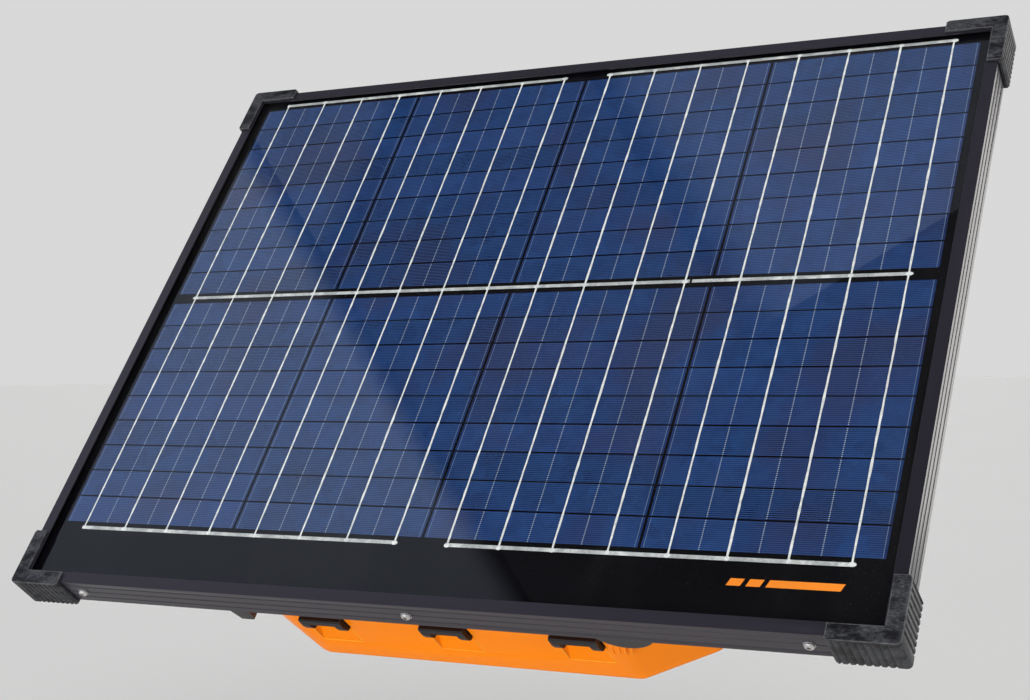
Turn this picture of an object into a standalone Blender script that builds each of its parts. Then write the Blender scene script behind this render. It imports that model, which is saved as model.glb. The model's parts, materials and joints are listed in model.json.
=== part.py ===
"""A solar fence energizer: a framed solar panel that is the hinged lid of an orange battery case.

Three frames are used. The case frame has X to the right, Y up along the panel and Z out of its glass,
with its origin in the middle of the aluminium frame, in the plane of the cells. It leans back, so that
the panel faces the sun. The lid frame is the same while the lid is shut, and turns about the hinge.
The upright frame has Z up and carries the post bracket. The world origin is the middle of the face
that meets the post.
"""

import math

import bmesh
import bpy
from mathutils import Matrix, Vector

MM = 0.001
GAP = 0.3  # between pieces that touch

# Driving dimensions, in millimetres and in the case frame unless a comment says otherwise.
TILT_DEGREES = 53.0  # of the panel from the horizontal

FRAME_WIDTH, FRAME_HEIGHT = 662.0, 502.0
FRAME_FRONT, FRAME_BACK = 4.5, -20.5
FRAME_WALL, FRAME_SHEET, LIP_WIDTH = 2.0, 1.2, 9.0
SHELF_TOP = -3.5
GROOVE_HEIGHTS, GROOVE_HALF_WIDTH, GROOVE_DEPTH = (-0.5, -7.5, -14.5), 0.8, 0.6
HALF_WIDTH, HALF_HEIGHT = FRAME_WIDTH / 2, FRAME_HEIGHT / 2

CAP_PROUD, CAP_ARM, CAP_FLANGE = 3.3, 45.0, 11.0
CAP_FRONT, CAP_BACK = 6.5, -22.8
CAP_RIB_PITCH, CAP_RIB_DEPTH, CAP_RIBS = 4.6, 1.0, 8
CAP_CHAMFER = (2.0, 1.2)  # along the arm and into it

GLASS_FRONT, GLASS_BACK = 3.0, 0.3
CELL_BACK = -0.5
BACK_SHEET_FRONT, BACK_SHEET_BACK = -0.8, -1.2
LAMINATE_MARGIN = 3.0  # from the frame's outside to the glass's edge

PLATE_MARGIN, PLATE_FLOOR, PLATE_WALL, PLATE_RIM = 2.4, 2.5, 2.5, -6.0

SCREW_HEIGHT = -8.0
BOTTOM_SCREWS = {"left": -275.0, "centre": 3.0, "right": 277.0}
TOP_SCREWS = {"left": -277.0, "right": 277.0}

HOOK_X, ROUND_TAB_X, TAB_Y = -154.5, 147.0, (-243.3, -236.8)
ROUND_TAB_RADIUS = 25.0

CASE_RIM, CASE_BACK, CASE_WALL = -23.5, -120.0, 3.0
CASE_FLANGE, CASE_FLANGE_DEPTH, CASE_ROUND = 3.0, 3.5, 5.0

HINGE_Y, HINGE_Z = 60.0, -30.0
KNUCKLE_RADIUS, PIN_RADIUS = 5.0, 2.0
CASE_KNUCKLES = ((-119.6, -90.0), (-45.0, -15.4), (15.4, 45.0), (90.0, 119.6))
LID_KNUCKLES = ((-150.0, -120.0), (-15.0, 15.0), (120.0, 150.0))

LATCH_X = {"left": -100.0, "centre": 0.0, "right": 100.0}
LATCH_Y, LATCH_Z = -229.3, -65.0  # the latch's pivot
LATCH_HALF_WIDTH, LATCH_LEG = 17.5, 6.5
LATCH_FACE, LATCH_TOP, LATCH_BAR_BOTTOM = -236.5, -56.0, -62.8
LATCH_END_RADIUS, LATCH_PIN_RADIUS = 4.0, 1.2
LATCH_FOOT, LATCH_FOOT_RADIUS = (-231.5, -67.2), 4.2  # the round end of a leg, in Y and Z
NOSE_HALF_WIDTH = 8.5

BATTERY = (151.0, 94.0, 65.0)  # 12 V, 7 Ah sealed lead acid
BATTERY_FOOT = -208.0

BOARD_X, BOARD_Y, BOARD_FRONT, BOARD_THICK = (-150.0, 60.0), (-93.0, 15.0), -106.4, 1.6
BOARD_SCREW_INSET = 8.0

CONTROL_Y, CONTROL_Z = (-120.0, -20.0), (-98.0, -46.0)
TERMINAL_Y, TERMINAL_Z = (-130.0, -50.0), (-95.0, -50.0)
SELECTOR = (-48.0, -72.0)
LIGHT = (-95.0, -72.0)
FENCE_TERMINAL, EARTH_TERMINAL = (-110.0, -72.5), (-70.0, -72.5)
STUD_RADIUS = 3.0

BRACKET_BOLTS = ((-43.0, -102.0), (43.0, -102.0), (-43.0, 22.0), (43.0, 22.0))
BRACKET_Y = (-116.0, 36.0)
BRACKET_STEEL, BRACKET_HALF_WIDTH, CHEEK_X = 4.0, 52.0, 30.0
POST_FACE_Y = 138.0  # upright frame: from the middle of the aluminium frame back to the post

ROUND = 24  # sides of a round piece
FINE = 12  # sides of a small one

COLOURS = {  # colour, roughness, metallic
    "anodised_black": ((0.035, 0.035, 0.042), 0.38, 0.8),
    "corner_black": ((0.045, 0.045, 0.05), 0.6, 0.0),
    "glass": ((0.6, 0.7, 0.8), 0.05, 0.0),
    "cell_blue": ((0.03, 0.055, 0.19), 0.3, 0.1),
    "sheet_black": ((0.02, 0.02, 0.022), 0.5, 0.0),
    "seal_black": ((0.02, 0.02, 0.02), 0.8, 0.0),
    "case_orange": ((0.95, 0.26, 0.015), 0.4, 0.0),
    "moulded_black": ((0.03, 0.03, 0.033), 0.5, 0.0),
    "battery_grey": ((0.16, 0.16, 0.17), 0.5, 0.0),
    "board_green": ((0.02, 0.14, 0.05), 0.45, 0.0),
    "capacitor_blue": ((0.02, 0.05, 0.2), 0.35, 0.0),
    "transformer_black": ((0.05, 0.045, 0.04), 0.5, 0.0),
    "bright_steel": ((0.7, 0.7, 0.7), 0.25, 1.0),
    "powder_black": ((0.03, 0.03, 0.032), 0.55, 0.3),
    "knob_red": ((0.6, 0.02, 0.02), 0.4, 0.0),
    "knob_green": ((0.02, 0.3, 0.05), 0.4, 0.0),
    "light_green": ((0.1, 0.7, 0.2), 0.15, 0.0),
    "lead_red": ((0.5, 0.01, 0.01), 0.5, 0.0),
    "lead_black": ((0.02, 0.02, 0.02), 0.5, 0.0),
}


# ---------------------------------------------------------------------------------------------
# Scene, frames and materials


def clear_scene():
    for obj in list(bpy.data.objects):
        bpy.data.objects.remove(obj)


def new_collection(name):
    collection = bpy.data.collections.new(name)
    bpy.context.scene.collection.children.link(collection)
    return collection


def new_empty(name, parent=None, location=(0, 0, 0), tilt=0.0):
    empty = bpy.data.objects.new(name, None)
    PARTS.objects.link(empty)
    empty.parent = parent
    empty.location = location
    empty.rotation_euler.x = math.radians(tilt)
    return empty


def new_material(name):
    colour, roughness, metallic = COLOURS[name]
    material = bpy.data.materials.new(name)
    material.use_nodes = True
    shader = material.node_tree.nodes["Principled BSDF"]
    shader.inputs["Base Color"].default_value = (*colour, 1.0)
    shader.inputs["Roughness"].default_value = roughness
    shader.inputs["Metallic"].default_value = metallic
    return material


def upright(y, z):
    """A point of the case frame's YZ plane, in the upright frame."""
    angle = math.radians(TILT_DEGREES)
    return (y * math.cos(angle) - z * math.sin(angle), y * math.sin(angle) + z * math.cos(angle))


clear_scene()
PARTS = new_collection("fence_energizer")
CUTTERS = new_collection("cutters")
MATERIALS = {name: new_material(name) for name in COLOURS}

BRACKET_TOP = upright(BRACKET_Y[1], CASE_BACK)[1]
BRACKET_FOOT = upright(BRACKET_Y[0], CASE_BACK)[1]
POST_FACE_Z = (BRACKET_TOP + BRACKET_FOOT) / 2
ORIGIN = (0, -POST_FACE_Y * MM, -POST_FACE_Z * MM)

UPRIGHT = new_empty("upright_frame", location=ORIGIN)
CASE = new_empty("case_frame", UPRIGHT, tilt=TILT_DEGREES)
HINGE = new_empty("hinge_axis", CASE, (0, HINGE_Y * MM, HINGE_Z * MM))
LID = new_empty("lid_frame", HINGE, (0, -HINGE_Y * MM, -HINGE_Z * MM))


# ---------------------------------------------------------------------------------------------
# Shapes. Each returns a bmesh in millimetres.

AXIS_TURNS = {
    "z": Matrix(((1, 0, 0), (0, 1, 0), (0, 0, 1))),
    "x": Matrix(((0, 0, 1), (1, 0, 0), (0, 1, 0))),  # an outline's first number is Y, its second Z
    "y": Matrix(((1, 0, 0), (0, 0, 1), (0, 1, 0))),  # an outline's first number is X, its second Z
}


def block(x, y, z, round_by=0.0, segments=2):
    """A box between the pairs x, y and z, with all its edges rounded."""
    bm = bmesh.new()
    bmesh.ops.create_cube(bm, size=1.0)
    for vert in bm.verts:
        vert.co = [low if side < 0 else high for side, (low, high) in zip(vert.co, (x, y, z))]
    if round_by:
        bmesh.ops.bevel(
            bm, geom=bm.edges[:], offset=round_by, segments=segments, profile=0.5, affect="EDGES"
        )
    return bm


def extrusion(outline, start, end, axis="z", end_outline=None):
    """The outline carried from start to end along the axis, tapering to end_outline if there is one."""
    bm = bmesh.new()
    face = bm.faces.new([bm.verts.new((u, v, start)) for u, v in outline])
    far = [g for g in bmesh.ops.extrude_face_region(bm, geom=[face])["geom"] if hasattr(g, "co")]
    goes_to = dict(zip(outline, end_outline or outline))
    nearest = {vert: min(outline, key=lambda p: (Vector(p) - vert.co.xy).length) for vert in far}
    for vert, place in nearest.items():
        vert.co = (*goes_to[place], end)
    bmesh.ops.transform(bm, matrix=AXIS_TURNS[axis].to_4x4(), verts=bm.verts[:])
    bmesh.ops.recalc_face_normals(bm, faces=bm.faces[:])
    return bm


def rod(centre, start, end, radius, axis="x", sides=ROUND):
    """A round bar along the axis, from start to end; centre holds its two other coordinates."""
    outline = [
        (centre[0] + radius * math.cos(angle), centre[1] + radius * math.sin(angle))
        for angle in (2 * math.pi * (i + 0.5) / sides for i in range(sides))
    ]
    return extrusion(outline, start, end, axis)


def arc(centre, radius, first, last, steps):
    """Points of an arc between two angles in degrees."""
    angles = (math.radians(first + (last - first) * i / steps) for i in range(steps + 1))
    return [(centre[0] + radius * math.cos(a), centre[1] + radius * math.sin(a)) for a in angles]


def grown(outline, distance):
    """The anticlockwise outline with each side moved outwards."""
    sides = []
    for start, end in zip(outline, outline[1:] + outline[:1]):
        along = (Vector(end) - Vector(start)).normalized()
        sides.append((Vector(start) + distance * Vector((along.y, -along.x)), along))
    corners = []
    for (point, along), (next_point, next_along) in zip(sides[-1:] + sides[:-1], sides):
        step = (next_point - point).cross(next_along) / along.cross(next_along)
        corners.append(tuple(point + step * along))
    return corners


# ---------------------------------------------------------------------------------------------
# Objects


def place(name, bm, parent, material, pivot=(0, 0, 0)):
    """A visible piece. Its origin is at pivot, which is on the axis of a piece that turns."""
    bmesh.ops.translate(bm, vec=-Vector(pivot), verts=bm.verts[:])
    bmesh.ops.scale(bm, vec=(MM, MM, MM), verts=bm.verts[:])
    mesh = bpy.data.meshes.new(name)
    bm.to_mesh(mesh)
    bm.free()
    mesh.materials.append(MATERIALS[material])
    mesh.shade_smooth()
    mesh.set_sharp_from_angle(angle=math.radians(35))
    obj = bpy.data.objects.new(name, mesh)
    PARTS.objects.link(obj)
    obj.parent = parent
    obj.location = Vector(pivot) * MM
    return obj


def modify(obj, bm, operation, name):
    """Joins the shape to obj, or cuts it away."""
    helper = place(name, bm, obj.parent, obj.data.materials[0].name)
    PARTS.objects.unlink(helper)
    CUTTERS.objects.link(helper)
    helper.hide_render = True
    helper.display_type = "WIRE"
    modifier = obj.modifiers.new(name, "BOOLEAN")
    modifier.operation = operation
    modifier.object = helper


def join(obj, bm, name="joined"):
    modify(obj, bm, "UNION", name)


def cut(obj, bm, name="cutter"):
    modify(obj, bm, "DIFFERENCE", name)


def turned_mesh(name, profile, material):
    """A profile of (radius, height) pairs, top to bottom, for a Screw modifier."""
    mesh = bpy.data.meshes.new(name)
    points = [(radius * MM, 0, height * MM) for radius, height in profile]
    mesh.from_pydata(points, [(i, i + 1) for i in range(len(points) - 1)], [])
    mesh.materials.append(MATERIALS[material])
    return mesh


def place_turned(name, mesh, parent, location, rotation=(0, 0, 0), steps=16):
    obj = bpy.data.objects.new(name, mesh)
    PARTS.objects.link(obj)
    obj.parent = parent
    obj.location = Vector(location) * MM
    obj.rotation_euler = [math.radians(angle) for angle in rotation]
    screw = obj.modifiers.new("turn", "SCREW")
    screw.steps = screw.render_steps = steps
    screw.use_merge_vertices = True
    screw.merge_threshold = 0.00001
    screw.use_smooth_shade = True
    return obj


def place_lead(name, route, parent, material, radius=1.4):
    """A wire along a smooth curve through the route's points."""
    curve = bpy.data.curves.new(name, "CURVE")
    curve.dimensions = "3D"
    curve.bevel_depth = radius * MM
    curve.bevel_resolution = 2
    curve.use_fill_caps = True
    curve.materials.append(MATERIALS[material])
    points = [Vector(point) * MM for point in smooth_route(route)]
    spline = curve.splines.new("POLY")
    spline.points.add(len(points) - 1)
    for spline_point, point in zip(spline.points, points):
        spline_point.co = (*point, 1.0)
    obj = bpy.data.objects.new(name, curve)
    PARTS.objects.link(obj)
    obj.parent = parent
    return obj


def smooth_route(route, steps=4):
    """Catmull-Rom points through the route."""
    points = [Vector(point) for point in (route[0], *route, route[-1])]
    smooth = []
    for before, start, end, after in zip(points, points[1:], points[2:], points[3:]):
        for i in range(steps):
            t = i / steps
            smooth.append(
                0.5 * (
                    2 * start + (end - before) * t
                    + (2 * before - 5 * start + 4 * end - after) * t**2
                    + (3 * start - before - 3 * end + after) * t**3
                )
            )
    return smooth + [points[-1]]


# ---------------------------------------------------------------------------------------------
# Aluminium frame


def rail_profile():
    """The rail's section as (distance in from the outside, height), with three grooves outside."""
    points = [
        (0, FRAME_FRONT),
        (LIP_WIDTH, FRAME_FRONT),
        (LIP_WIDTH, FRAME_FRONT - FRAME_SHEET),
        (FRAME_WALL, FRAME_FRONT - FRAME_SHEET),
        (FRAME_WALL, SHELF_TOP),
        (LIP_WIDTH, SHELF_TOP),
        (LIP_WIDTH, SHELF_TOP - FRAME_SHEET),
        (FRAME_WALL, SHELF_TOP - FRAME_SHEET),
        (FRAME_WALL, FRAME_BACK),
        (0, FRAME_BACK),
    ]
    for height in reversed(GROOVE_HEIGHTS):
        points.append((0, height - GROOVE_HALF_WIDTH))
        points.append((GROOVE_DEPTH, height))
        points.append((0, height + GROOVE_HALF_WIDTH))
    return points


def make_rail(name, length, reach, turn):
    """A rail with mitred ends. It is drawn as the bottom rail and turned about the frame's middle."""
    bm = extrusion(rail_profile(), -length / 2, length / 2, "x")
    for vert in bm.verts:
        mitre = vert.co.y + GAP / 2
        vert.co.x += mitre if vert.co.x < 0 else -mitre
        vert.co.y -= reach
    bmesh.ops.rotate(bm, verts=bm.verts[:], matrix=Matrix.Rotation(math.radians(turn), 3, "Z"))
    return place(name, bm, LID, "anodised_black")


def make_frame():
    bottom = make_rail("frame_rail_bottom", FRAME_WIDTH, HALF_HEIGHT, 0)
    make_rail("frame_rail_right", FRAME_HEIGHT, HALF_WIDTH, 90)
    top = make_rail("frame_rail_top", FRAME_WIDTH, HALF_HEIGHT, 180)
    make_rail("frame_rail_left", FRAME_HEIGHT, HALF_WIDTH, 270)
    return bottom, top


def ribbed_side(start_x, end_x, y):
    """The outline of a cap's outer side, from start to end, with V grooves in it."""
    step = math.copysign(CAP_RIB_PITCH, end_x - start_x)
    points = []
    for i in range(CAP_RIBS):
        middle = start_x + step * (i + 0.8)
        points.append((middle - step * 0.25, y))
        points.append((middle, y - CAP_RIB_DEPTH))
        points.append((middle + step * 0.25, y))
    return points


def cap_outline(outer_x, outer_y, width, ribbed):
    """An L about the top right corner, anticlockwise."""
    end_x, end_y = outer_x - CAP_ARM, outer_y - CAP_ARM
    right = [(x, y) for y, x in ribbed_side(end_y, outer_y, outer_x)] if ribbed else []
    top = list(reversed(ribbed_side(end_x, outer_x, outer_y))) if ribbed else []
    corner = arc((outer_x - 3, outer_y - 3), 3, 0, 90, 3)
    along, inwards = CAP_CHAMFER
    return [
        (outer_x - width, end_y),
        (outer_x - inwards, end_y),
        (outer_x, end_y + along),
        *right,
        *corner,
        *top,
        (end_x + along, outer_y),
        (end_x, outer_y - inwards),
        (end_x, outer_y - width),
        (outer_x - width, outer_y - width),
    ]


def make_corner_cap(name, side_x, side_y):
    outer_x, outer_y = HALF_WIDTH + CAP_PROUD, HALF_HEIGHT + CAP_PROUD
    flange_back = FRAME_FRONT + GAP
    ribbed = extrusion(cap_outline(outer_x, outer_y, CAP_FLANGE, True), CAP_BACK, flange_back + 0.6)
    smooth = extrusion(cap_outline(outer_x, outer_y, CAP_FLANGE, False), flange_back, CAP_FRONT)
    channel = block(
        (0, HALF_WIDTH + GAP), (0, HALF_HEIGHT + GAP), (FRAME_BACK - GAP, flange_back)
    )
    for bm in (ribbed, smooth, channel):
        bmesh.ops.scale(bm, vec=(side_x, side_y, 1), verts=bm.verts[:])
        if side_x * side_y < 0:
            bmesh.ops.reverse_faces(bm, faces=bm.faces[:])
    cap = place(name, ribbed, LID, "corner_black")
    join(cap, smooth, "cap_front")
    cut(cap, channel, "cap_channel")


# ---------------------------------------------------------------------------------------------
# Laminate


def sheet(margin, back, front):
    x, y = HALF_WIDTH - margin, HALF_HEIGHT - margin
    return block((-x, x), (-y, y), (back, front))


def make_laminate():
    place("solar_glass", sheet(LAMINATE_MARGIN, GLASS_BACK, GLASS_FRONT), LID, "glass")
    place("cell_layer", sheet(LAMINATE_MARGIN + 0.5, CELL_BACK, 0), LID, "cell_blue")
    backing = sheet(LAMINATE_MARGIN + 0.5, BACK_SHEET_BACK, BACK_SHEET_FRONT)
    place("back_sheet", backing, LID, "sheet_black")
    tape = place(
        "glass_seal",
        sheet(LAMINATE_MARGIN, SHELF_TOP + GAP, BACK_SHEET_BACK - GAP),
        LID,
        "seal_black",
    )
    cut(tape, sheet(LIP_WIDTH, -10, 10), "tape_middle")


def make_junction_box():
    back, front = -15.0, BACK_SHEET_BACK - GAP
    box = place("junction_box", block((-45, 45), (70, 130), (back, front), 2.0), LID, "moulded_black")
    cut(box, rod((30, -9), 60, 80, 1.8, "y", FINE), "lead_hole")


# ---------------------------------------------------------------------------------------------
# Back plate of the lid


def round_tab_outline():
    """A wide tab in the shape of half a disc, in X and Z."""
    root = FRAME_BACK + 1
    return [(-ROUND_TAB_RADIUS, root), *arc((0, FRAME_BACK), ROUND_TAB_RADIUS, 180, 360, 16),
            (ROUND_TAB_RADIUS, root)]


def hook_outline():
    """The other tab, which is narrower, with one slanted side and a flat end."""
    root = FRAME_BACK + 1
    return [(9, root), (-13, root), (-3, -46.5), (7.5, -46.5), (9, -45)]


def shifted(outline, by):
    return [(u + by, v) for u, v in outline]


def make_back_plate():
    x, y = HALF_WIDTH - PLATE_MARGIN, HALF_HEIGHT - PLATE_MARGIN
    floor_front = FRAME_BACK + PLATE_FLOOR
    plate = place(
        "panel_back_plate", block((-x, x), (-y, y), (FRAME_BACK, PLATE_RIM)), LID, "moulded_black"
    )
    inner_x, inner_y = x - PLATE_WALL, y - PLATE_WALL
    cut(plate, block((-inner_x, inner_x), (-inner_y, inner_y), (floor_front, 0)), "tray")
    for tab_x, outline in ((HOOK_X, hook_outline()), (ROUND_TAB_X, round_tab_outline())):
        join(plate, extrusion(shifted(outline, tab_x), *TAB_Y, "y"), "lift_tab")
    for side in (-1, 1):
        for rib_x in (228, 258, 288):
            rib = block((side * rib_x - 1.5, side * rib_x + 1.5), (-222, 222), (-22.6, FRAME_BACK + 1))
            join(plate, rib, "side_rib")
    for rib_y in (95, 135, 175, 215):
        join(plate, block((-205, 205), (rib_y - 1.5, rib_y + 1.5), (-22.6, FRAME_BACK + 1)), "top_rib")
    for latch_x in LATCH_X.values():
        join(plate, block((latch_x - 8, latch_x + 8), (-219.2, -216.7), (-66, -19.5)), "catch_tongue")
        cut(plate, block((latch_x - 5, latch_x + 5), (-222, -214), (-63.5, -57)), "catch_window")
    for start, end in LID_KNUCKLES:
        join(plate, rod((HINGE_Y, HINGE_Z), start, end, KNUCKLE_RADIUS), "lid_knuckle")
        web = block((start + 0.1, end - 0.1), (HINGE_Y - 2.5, HINGE_Y + 4.6), (HINGE_Z, FRAME_BACK + 1))
        join(plate, web, "knuckle_web")
    cut(plate, rod((HINGE_Y, HINGE_Z), -160, 160, PIN_RADIUS + GAP), "pin_hole")
    cut(plate, rod((30, 32), -40, 0, 4.0, "z", FINE), "lead_hole")
    return plate


SCREW_PROFILE = (
    (0, 2.2), (1.9, 2.0), (3.2, 1.1), (3.6, 0.3), (3.6, 0), (1.5, 0), (1.5, -7.5), (0, -8)
)


def make_frame_screws(bottom_rail, top_rail, plate):
    mesh = turned_mesh("frame_screw", SCREW_PROFILE, "bright_steel")
    for rail, places, label, side in (
        (bottom_rail, BOTTOM_SCREWS, "bottom", -1),
        (top_rail, TOP_SCREWS, "top", 1),
    ):
        for place_name, x in places.items():
            y = side * (HALF_HEIGHT + GAP)
            name = f"frame_screw_{label}_{place_name}"
            place_turned(name, mesh, LID, (x, y, SCREW_HEIGHT), (-90 * side, 0, 0))
            for piece in (rail, plate):
                start, end = sorted((side * (HALF_HEIGHT - 9), side * (HALF_HEIGHT + 2)))
                hole = rod((x, SCREW_HEIGHT), start, end, 1.5 + GAP, "y", FINE)
                cut(piece, hole, "screw_hole")


# ---------------------------------------------------------------------------------------------
# Orange case


def case_outline(foot, foot_y, shoulder, side, side_y, top, top_round):
    """The case seen along Z, anticlockwise: flat foot, slanted lower corners, straight sides."""
    half = [
        (foot, foot_y),
        shoulder,
        (side, side_y),
        (side, top - top_round),
        (side - top_round, top),
    ]
    return half + [(-x, y) for x, y in reversed(half)]


RIM_OUTLINE = case_outline(133.0, -233.0, (186.0, -206.0), 194.0, -188.0, 50.0, 24.0)
BACK_OUTLINE = case_outline(128.0, -230.0, (179.0, -203.5), 187.0, -186.0, 41.0, 22.0)


def case_body(inset, back, round_by):
    """The case's outside, or its hollow when inset is positive. Every edge but the rim's is rounded."""
    rim, far = grown(RIM_OUTLINE, -inset), grown(BACK_OUTLINE, -inset)
    front = CASE_RIM + (inset and 5)
    bm = extrusion(rim, front, back, "z", far)
    edges = [edge for edge in bm.edges if min(v.co.z for v in edge.verts) < front - 1]
    bmesh.ops.bevel(bm, geom=edges, offset=round_by, segments=3, profile=0.5, affect="EDGES")
    return bm


def make_latch_seat(case, x):
    """The thickened wall, the recess for the latch, the scoop for a finger and the slot for the nose."""
    join(case, block((x - 27, x + 27), (-230.2, -221.6), (-98, -49)), "latch_block")
    reach = LATCH_HALF_WIDTH + 1.1
    recess = block((x - reach, x + reach), (-240, -223.2), (-73, -54.3))
    cut(case, recess, "latch_recess")
    floor = -224.5
    scoop = extrusion([(-232.6, -62.5), (floor, -62.5), (floor, -69), (-232, -97.8)], x - 18, x + 18, "x")
    for vert in scoop.verts:
        if vert.co.y > floor - 0.1:  # its side walls slope in towards its floor
            vert.co.x = x + 0.74 * (vert.co.x - x)
    cut(case, scoop, "finger_scoop")
    slot = block((x - NOSE_HALF_WIDTH - 1, x + NOSE_HALF_WIDTH + 1), (-240, -215), (-66, -55))
    cut(case, slot, "nose_slot")
    cut(case, rod((LATCH_Y, LATCH_Z), x - 25, x + 25, LATCH_PIN_RADIUS + 0.15, "x", FINE), "pin_hole")


def board_corners():
    return [
        (BOARD_X[0] + BOARD_SCREW_INSET if side_x < 0 else BOARD_X[1] - BOARD_SCREW_INSET,
         BOARD_Y[0] + BOARD_SCREW_INSET if side_y < 0 else BOARD_Y[1] - BOARD_SCREW_INSET)
        for side_y in (-1, 1)
        for side_x in (-1, 1)
    ]


STRAP_SCREW_X, STRAP_Y, STRAP_FOOT = 166.0, BATTERY_FOOT + BATTERY[1] / 2, -110.7


def make_case():
    case = place("case_shell", case_body(0, CASE_BACK, CASE_ROUND), CASE, "case_orange")
    flange = grown(RIM_OUTLINE, CASE_FLANGE)
    join(case, extrusion(flange, CASE_RIM - CASE_FLANGE_DEPTH, CASE_RIM), "flange")
    cut(case, case_body(CASE_WALL, CASE_BACK + CASE_WALL, CASE_ROUND - 2.5), "hollow")
    for x in LATCH_X.values():
        make_latch_seat(case, x)
    for start, end in CASE_KNUCKLES:
        join(case, rod((HINGE_Y, HINGE_Z), start, end, KNUCKLE_RADIUS), "case_knuckle")
        web = block((start + 0.1, end - 0.1), (48.2, HINGE_Y), (HINGE_Z - 3.5, HINGE_Z + 4.5))
        join(case, web, "knuckle_web")
    cut(case, rod((HINGE_Y, HINGE_Z), -160, 160, PIN_RADIUS + 0.15), "pin_hole")
    floor = CASE_BACK + CASE_WALL - 0.5
    for corner in board_corners():
        join(case, rod(corner, floor, BOARD_FRONT - BOARD_THICK - GAP, 4.5, "z", FINE), "standoff")
        cut(case, rod(corner, floor + 1, BOARD_FRONT, 1.7, "z", FINE), "standoff_hole")
    for side in (-1, 1):
        boss = (side * STRAP_SCREW_X, STRAP_Y)
        join(case, rod(boss, floor, STRAP_FOOT - GAP, 6, "z", FINE), "strap_boss")
        cut(case, rod(boss, STRAP_FOOT - 6, STRAP_FOOT + 1, 1.8, "z", FINE), "strap_hole")
    for bolt in BRACKET_BOLTS:
        join(case, rod(bolt, floor, floor + 11, 7, "z", FINE), "bracket_boss")
        cut(case, rod(bolt, CASE_BACK - 5, floor + 8, 3.3, "z", FINE), "bolt_hole")
    cut(case, block((170, 210), CONTROL_Y, CONTROL_Z), "control_window")
    cut(case, block((-210, -170), TERMINAL_Y, TERMINAL_Z), "terminal_window")


def make_case_seal():
    front, back = FRAME_BACK - GAP, CASE_RIM + GAP
    seal = place("case_seal", extrusion(grown(RIM_OUTLINE, 0.5), back, front), LID, "seal_black")
    cut(seal, extrusion(grown(RIM_OUTLINE, -4.0), back - 5, front + 5), "seal_middle")


def make_hinge_pin():
    place("hinge_pin", rod((HINGE_Y, HINGE_Z), -152, 152, PIN_RADIUS), CASE, "bright_steel")


# ---------------------------------------------------------------------------------------------
# Latches


def latch_leg_outline():
    """A leg seen along X, in Y and Z: proud at the bar, with a round foot about its pivot."""
    return [
        (LATCH_FACE, LATCH_TOP - 1),
        (LATCH_FACE, LATCH_Z + 1),
        *arc(LATCH_FOOT, LATCH_FOOT_RADIUS, 185, 320, 8),
        (LATCH_Y + LATCH_END_RADIUS, LATCH_Z - 1),
        (LATCH_Y + LATCH_END_RADIUS, LATCH_TOP - 2),
        (LATCH_Y + LATCH_END_RADIUS - 2, LATCH_TOP),
        (LATCH_FACE + 1, LATCH_TOP),
    ]


def make_latch(label, x):
    pivot = (x, LATCH_Y, LATCH_Z)
    bar = [
        (LATCH_FACE, LATCH_TOP - 1),
        (LATCH_FACE, LATCH_BAR_BOTTOM + 1),
        (LATCH_FACE + 1, LATCH_BAR_BOTTOM),
        (-231.2, LATCH_BAR_BOTTOM),
        (-231.2, LATCH_TOP),
        (LATCH_FACE + 1, LATCH_TOP),
    ]
    outer, inner = LATCH_HALF_WIDTH, LATCH_HALF_WIDTH - LATCH_LEG
    between_legs = extrusion(bar, x - inner - 1, x + inner + 1, "x")
    latch = place(f"latch_{label}", between_legs, CASE, "moulded_black", pivot)
    for start, end in ((x - outer, x - inner), (x + inner, x + outer)):
        join(latch, extrusion(latch_leg_outline(), start, end, "x"), "latch_leg")
    nose = block(
        (x - NOSE_HALF_WIDTH, x + NOSE_HALF_WIDTH), (-232.5, -221.5), (LATCH_Z + 2.5, LATCH_Z + 5.5)
    )
    join(latch, nose, "latch_nose")
    cut(latch, rod((LATCH_Y, LATCH_Z), x - 30, x + 30, LATCH_PIN_RADIUS + GAP, "x", FINE), "pin_hole")
    pin = rod((LATCH_Y, LATCH_Z), x - 24.7, x + 24.7, LATCH_PIN_RADIUS, "x", FINE)
    place(f"latch_pin_{label}", pin, CASE, "bright_steel")


# ---------------------------------------------------------------------------------------------
# Inside the case


def make_batteries():
    width, height, depth = BATTERY
    back = CASE_BACK + CASE_WALL + GAP
    for label, side in (("left", -1), ("right", 1)):
        x = sorted((side * 2, side * (2 + width)))
        y = (BATTERY_FOOT, BATTERY_FOOT + height)
        place(f"battery_{label}", block(x, y, (back, back + depth), 2.0), CASE, "battery_grey")
    top = back + depth + GAP
    reach, edge = 2 + width + 2, (STRAP_Y - 10, STRAP_Y + 10)
    strap = place(
        "battery_strap", block((-reach - 2, reach + 2), edge, (top, top + 2)), CASE, "powder_black"
    )
    for side in (-1, 1):
        leg = sorted((side * reach, side * (reach + 2)))
        foot = sorted((side * reach, side * (STRAP_SCREW_X + 7)))
        join(strap, block(leg, edge, (STRAP_FOOT, top + 1)), "strap_leg")
        join(strap, block(foot, edge, (STRAP_FOOT, STRAP_FOOT + 2)), "strap_foot")
        hole = rod((side * STRAP_SCREW_X, STRAP_Y), STRAP_FOOT - 5, STRAP_FOOT + 5, 1.9, "z", FINE)
        cut(strap, hole, "strap_hole")


BOARD_SCREW_PROFILE = ((0, 2), (2.2, 1.7), (3, 0.8), (3, 0), (1.3, 0), (1.3, -4.5), (0, -5))


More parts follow.
